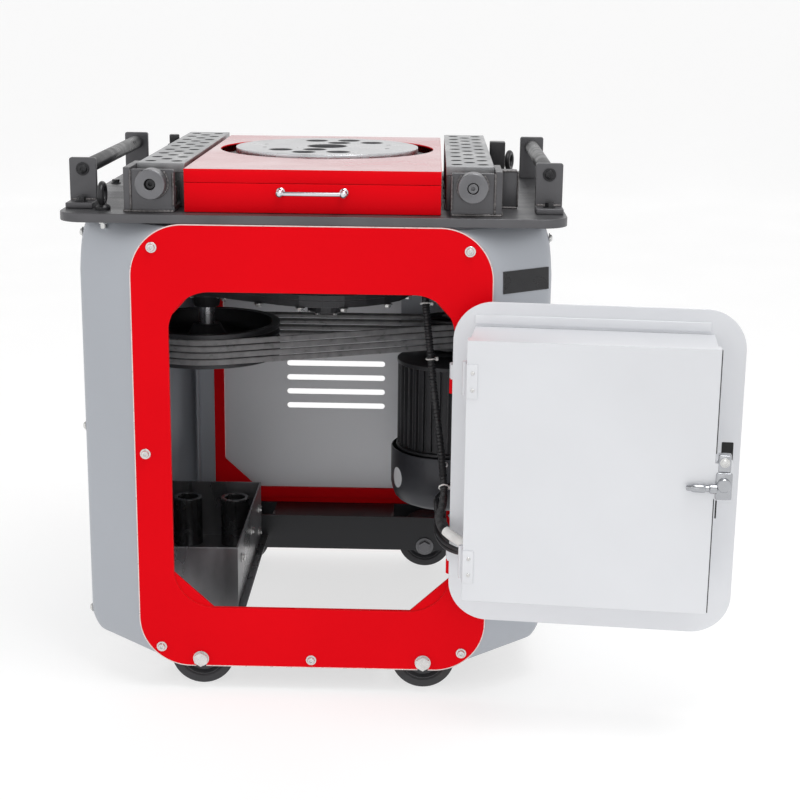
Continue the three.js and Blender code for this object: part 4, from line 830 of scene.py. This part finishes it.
# things inside the electric box
rbox("din_rail", 70, 395, n_(26), n_(19), -300, -286, BOLT, DB, 1, M=DOOR)
for i, (s0, w) in enumerate(((90, 45), (145, 45), (200, 60), (275, 36))):
    rbox("contactor_%d" % i, s0, s0 + w, n_(78 if i != 2 else 92), n_(26.3), -336, -252, ORANGE if i % 2 == 0 else BLACK_PLASTIC_AND_SHADOW, DB, 3, M=DOOR)
rbox("terminal_strip", 90, 330, n_(52), n_(19), -420, -396, ORANGE, DB, 2, M=DOOR)
bolts("terminal_screws", [((102 + 18 * i, n_(52), -408), "-y") for i in range(12)], DB, M=DOOR, r=4, h=1.5, kind="dome", washer=False)
rbox("transformer", 100, 190, n_(90), n_(18.6), -560, -490, CAST, DB, 3, M=DOOR)
for i in range(6):
    tube("box_wire_%d" % i, [(102 + 34 * i, n_(50), -422), (106 + 34 * i, n_(48), -445), (120 + 30 * i, n_(40), -462), (150 + 20 * i, n_(30), -476), (200 + 16 * i, n_(28), -492)], 2.2, BLACK_PLASTIC_AND_SHADOW, DB, 8, 24, M=DOOR)

# ---------------- rear door ----------------
parts = [plate_mesh("rl", [rrect(-240.6, 238.9, -690.0, -129.5, 69)] + [rrect(-105, 105, z - 6, z + 6, 5.9, 8) for z in (-413, -444, -475, -506)], "y", 719.3, 722.3, 0.5)]
for z in (-266, -586):
    parts.append(lathe_mesh("k", [(0, z), (5.6, z), (6, z + 0.5), (6, z + 25.5), (5.6, z + 26), (0, z + 26)], "z", 239, 735.5, 24, closed=False))
    parts.append(rbox_mesh("ka", 236.2, 241.8, 722.2, 735.5, z + 0.4, z + 25.6, 0.6))
    parts.append(rbox_mesh("kl", 209, 241.8, 722.2, 725.2, z + 0.4, z + 25.6, 0.6))
finish_mesh("rear_leaf", merge("rear_leaf", parts), DOORP, "rear_door", rep=("rear_door",))
bolts("rear_latch", [((-215, 722.4, -410), "+y")], "rear_door", r=8, h=4, kind="dome")

# ---------------- corrugated conduit from the cabinet into the door box ----------------
A_ = Vector((250.0, -72.0, -500.0))
pts = [(199, 320, -40), (195, 240, -92), (191, 176, -138), (191, 150, -171), (196, 147, -216), (201.2, 146, -264), (206.4, 144, -313), (214.8, 133, -375), (222.9, 95, -431), (228, 44, -476), (226, 12, -498), (220, -15, -511), (225, -42, -521), (241, -62, -528), (259, -80, -534), (273, -92, -538)]
path = smooth_path(pts, 420)
def corr(t):
    return 6.4 + 0.9 * math.cos(t * 150 * math.tau)
me = tube_mesh("conduit", path, corr, 14)
me.transform(BASE)
hose = bpy.data.objects.new("conduit", me); bpy.context.scene.collection.objects.link(hose)
me.materials.append(BLACK_PLASTIC_AND_SHADOW); me.shade_smooth(); me.set_sharp_from_angle(angle=math.radians(60))
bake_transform(hose)
me = tube_mesh("conduit_sleeve", smooth_path([(231, -51, -523), (240, -61, -527.5), (250, -71, -531), (260, -81, -534), (270, -89.5, -536.5)], 40), 8.4, 20)
finish_mesh("conduit_sleeve", me, WIRE_W, "front_door")
lathe("cable_gland", [(8.8, 29), (12, 30), (12.6, 34), (14, 34.5), (14, 37.1), (8.8, 37.1)], "x", n_(72), -537, BLACK_PLASTIC_AND_SHADOW, "front_door", 32, M=DOOR)
def tie(name, at, r, body):
    c = Vector(at); k = min(range(1, len(path) - 1), key=lambda i: (path[i] - c).length)
    t = (path[k + 1] - path[k - 1]).normalized(); s = t.orthogonal().normalized(); w = t.cross(s)
    ring = [path[k] + r * (math.cos(a * math.tau / 28) * s + math.sin(a * math.tau / 28) * w) for a in range(28)]
    finish_mesh(name, merge(name, [tube_mesh("t", ring, 1.4, 8, closed=True), rbox_mesh("th", path[k].x + r - 1, path[k].x + r + 5, path[k].y - 3, path[k].y + 3, path[k].z - 3, path[k].z + 3, 1)]), WIRE_W, body)
tie("cable_tie_top", (191, 150, -171), 8.4, F)
tie("cable_tie_middle", (201.2, 146, -270), 8.4, F)
tie("cable_tie_low", (228, 44, -476), 8.4, F)
for i, (a, b, c) in enumerate(((214, 60, -505), (218, 80, -512))):
    lead = tube_mesh("lead", smooth_path([(338, 486, -450 - 12 * i), (296, 390, -500), (246, 250, -528), (217, 120, -518), (a, b, c), (216, 34, -524 - 6 * i), (216, -8, -536 - 7 * i), (228, -44, -545 - 7 * i), (246, -68, -548 - 6 * i), (262, -84, -547 - 4 * i), (273, -94, -545 - 3 * i)], 140), 3.6, 12)
    lead.transform(BASE); lo = bpy.data.objects.new("motor_lead_%d" % (i + 1), lead); bpy.context.scene.collection.objects.link(lo)
    lead.materials.append(BLACK_PLASTIC_AND_SHADOW); lead.shade_smooth()
    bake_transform(lo)

# ---------------- floor, light, world ----------------
fm = bpy.data.meshes.new("floor")
prof = [(0.0, 0.0), (1.5, 0.0), (4.0, 0.0), (7.0, 0.0)] + [(7.0 + 2.5 * math.sin(a * math.pi / 32), 2.5 - 2.5 * math.cos(a * math.pi / 32)) for a in range(1, 17)] + [(9.5, 12.0)]
vs, fs, NS = [(0.0, 0.0, 0.0)], [], 96
for r_, z in prof[1:]:
    vs += [(r_ * math.cos(k * math.tau / NS), r_ * math.sin(k * math.tau / NS), z) for k in range(NS)]
for k in range(NS):
    fs.append((0, 1 + k, 1 + (k + 1) % NS))
for i in range(len(prof) - 2):
    a, b = 1 + i * NS, 1 + (i + 1) * NS
    for k in range(NS):
        fs.append((a + k, b + k, b + (k + 1) % NS, a + (k + 1) % NS))
fm.from_pydata(vs, [], fs); fm.materials.append(FLOORM); fm.shade_smooth()
floor = bpy.data.objects.new("floor", fm); bpy.context.scene.collection.objects.link(floor)

def area(name, loc, target, size, power, size_y=None):
    li = bpy.data.lights.new(name, "AREA"); li.energy = power; li.size = size
    if size_y:
        li.shape = "RECTANGLE"; li.size_y = size_y
    ob = bpy.data.objects.new(name, li); bpy.context.scene.collection.objects.link(ob)
    ob.location = loc
    ob.rotation_euler = (Vector(target) - Vector(loc)).to_track_quat("-Z", "Y").to_euler()
    return ob
area("key", (0.5, -1.6, 3.8), (0, 0, 0.5), 2.0, 12)
area("top", (0.7, -0.75, 3.5), (0.3, -0.3, 0.5), 1.6, 46)
area("left", (-3.2, -2.0, 1.9), (0, 0, 0.5), 2.2, 6)
area("front", (-0.4, -4.2, 1.0), (0, 0, 0.45), 1.6, 3)
area("back", (0, 3.6, 2.6), (0, 0, 0.6), 3.0, 4)
world = bpy.data.worlds.new("studio"); bpy.context.scene.world = world; world.use_nodes = True
world.node_tree.nodes["Background"].inputs["Color"].default_value = (1.0, 1.0, 1.0, 1)
world.node_tree.nodes["Background"].inputs["Strength"].default_value = 0.3
bpy.context.scene.view_settings.view_transform = "Standard"

bpy.context.view_layer.update()
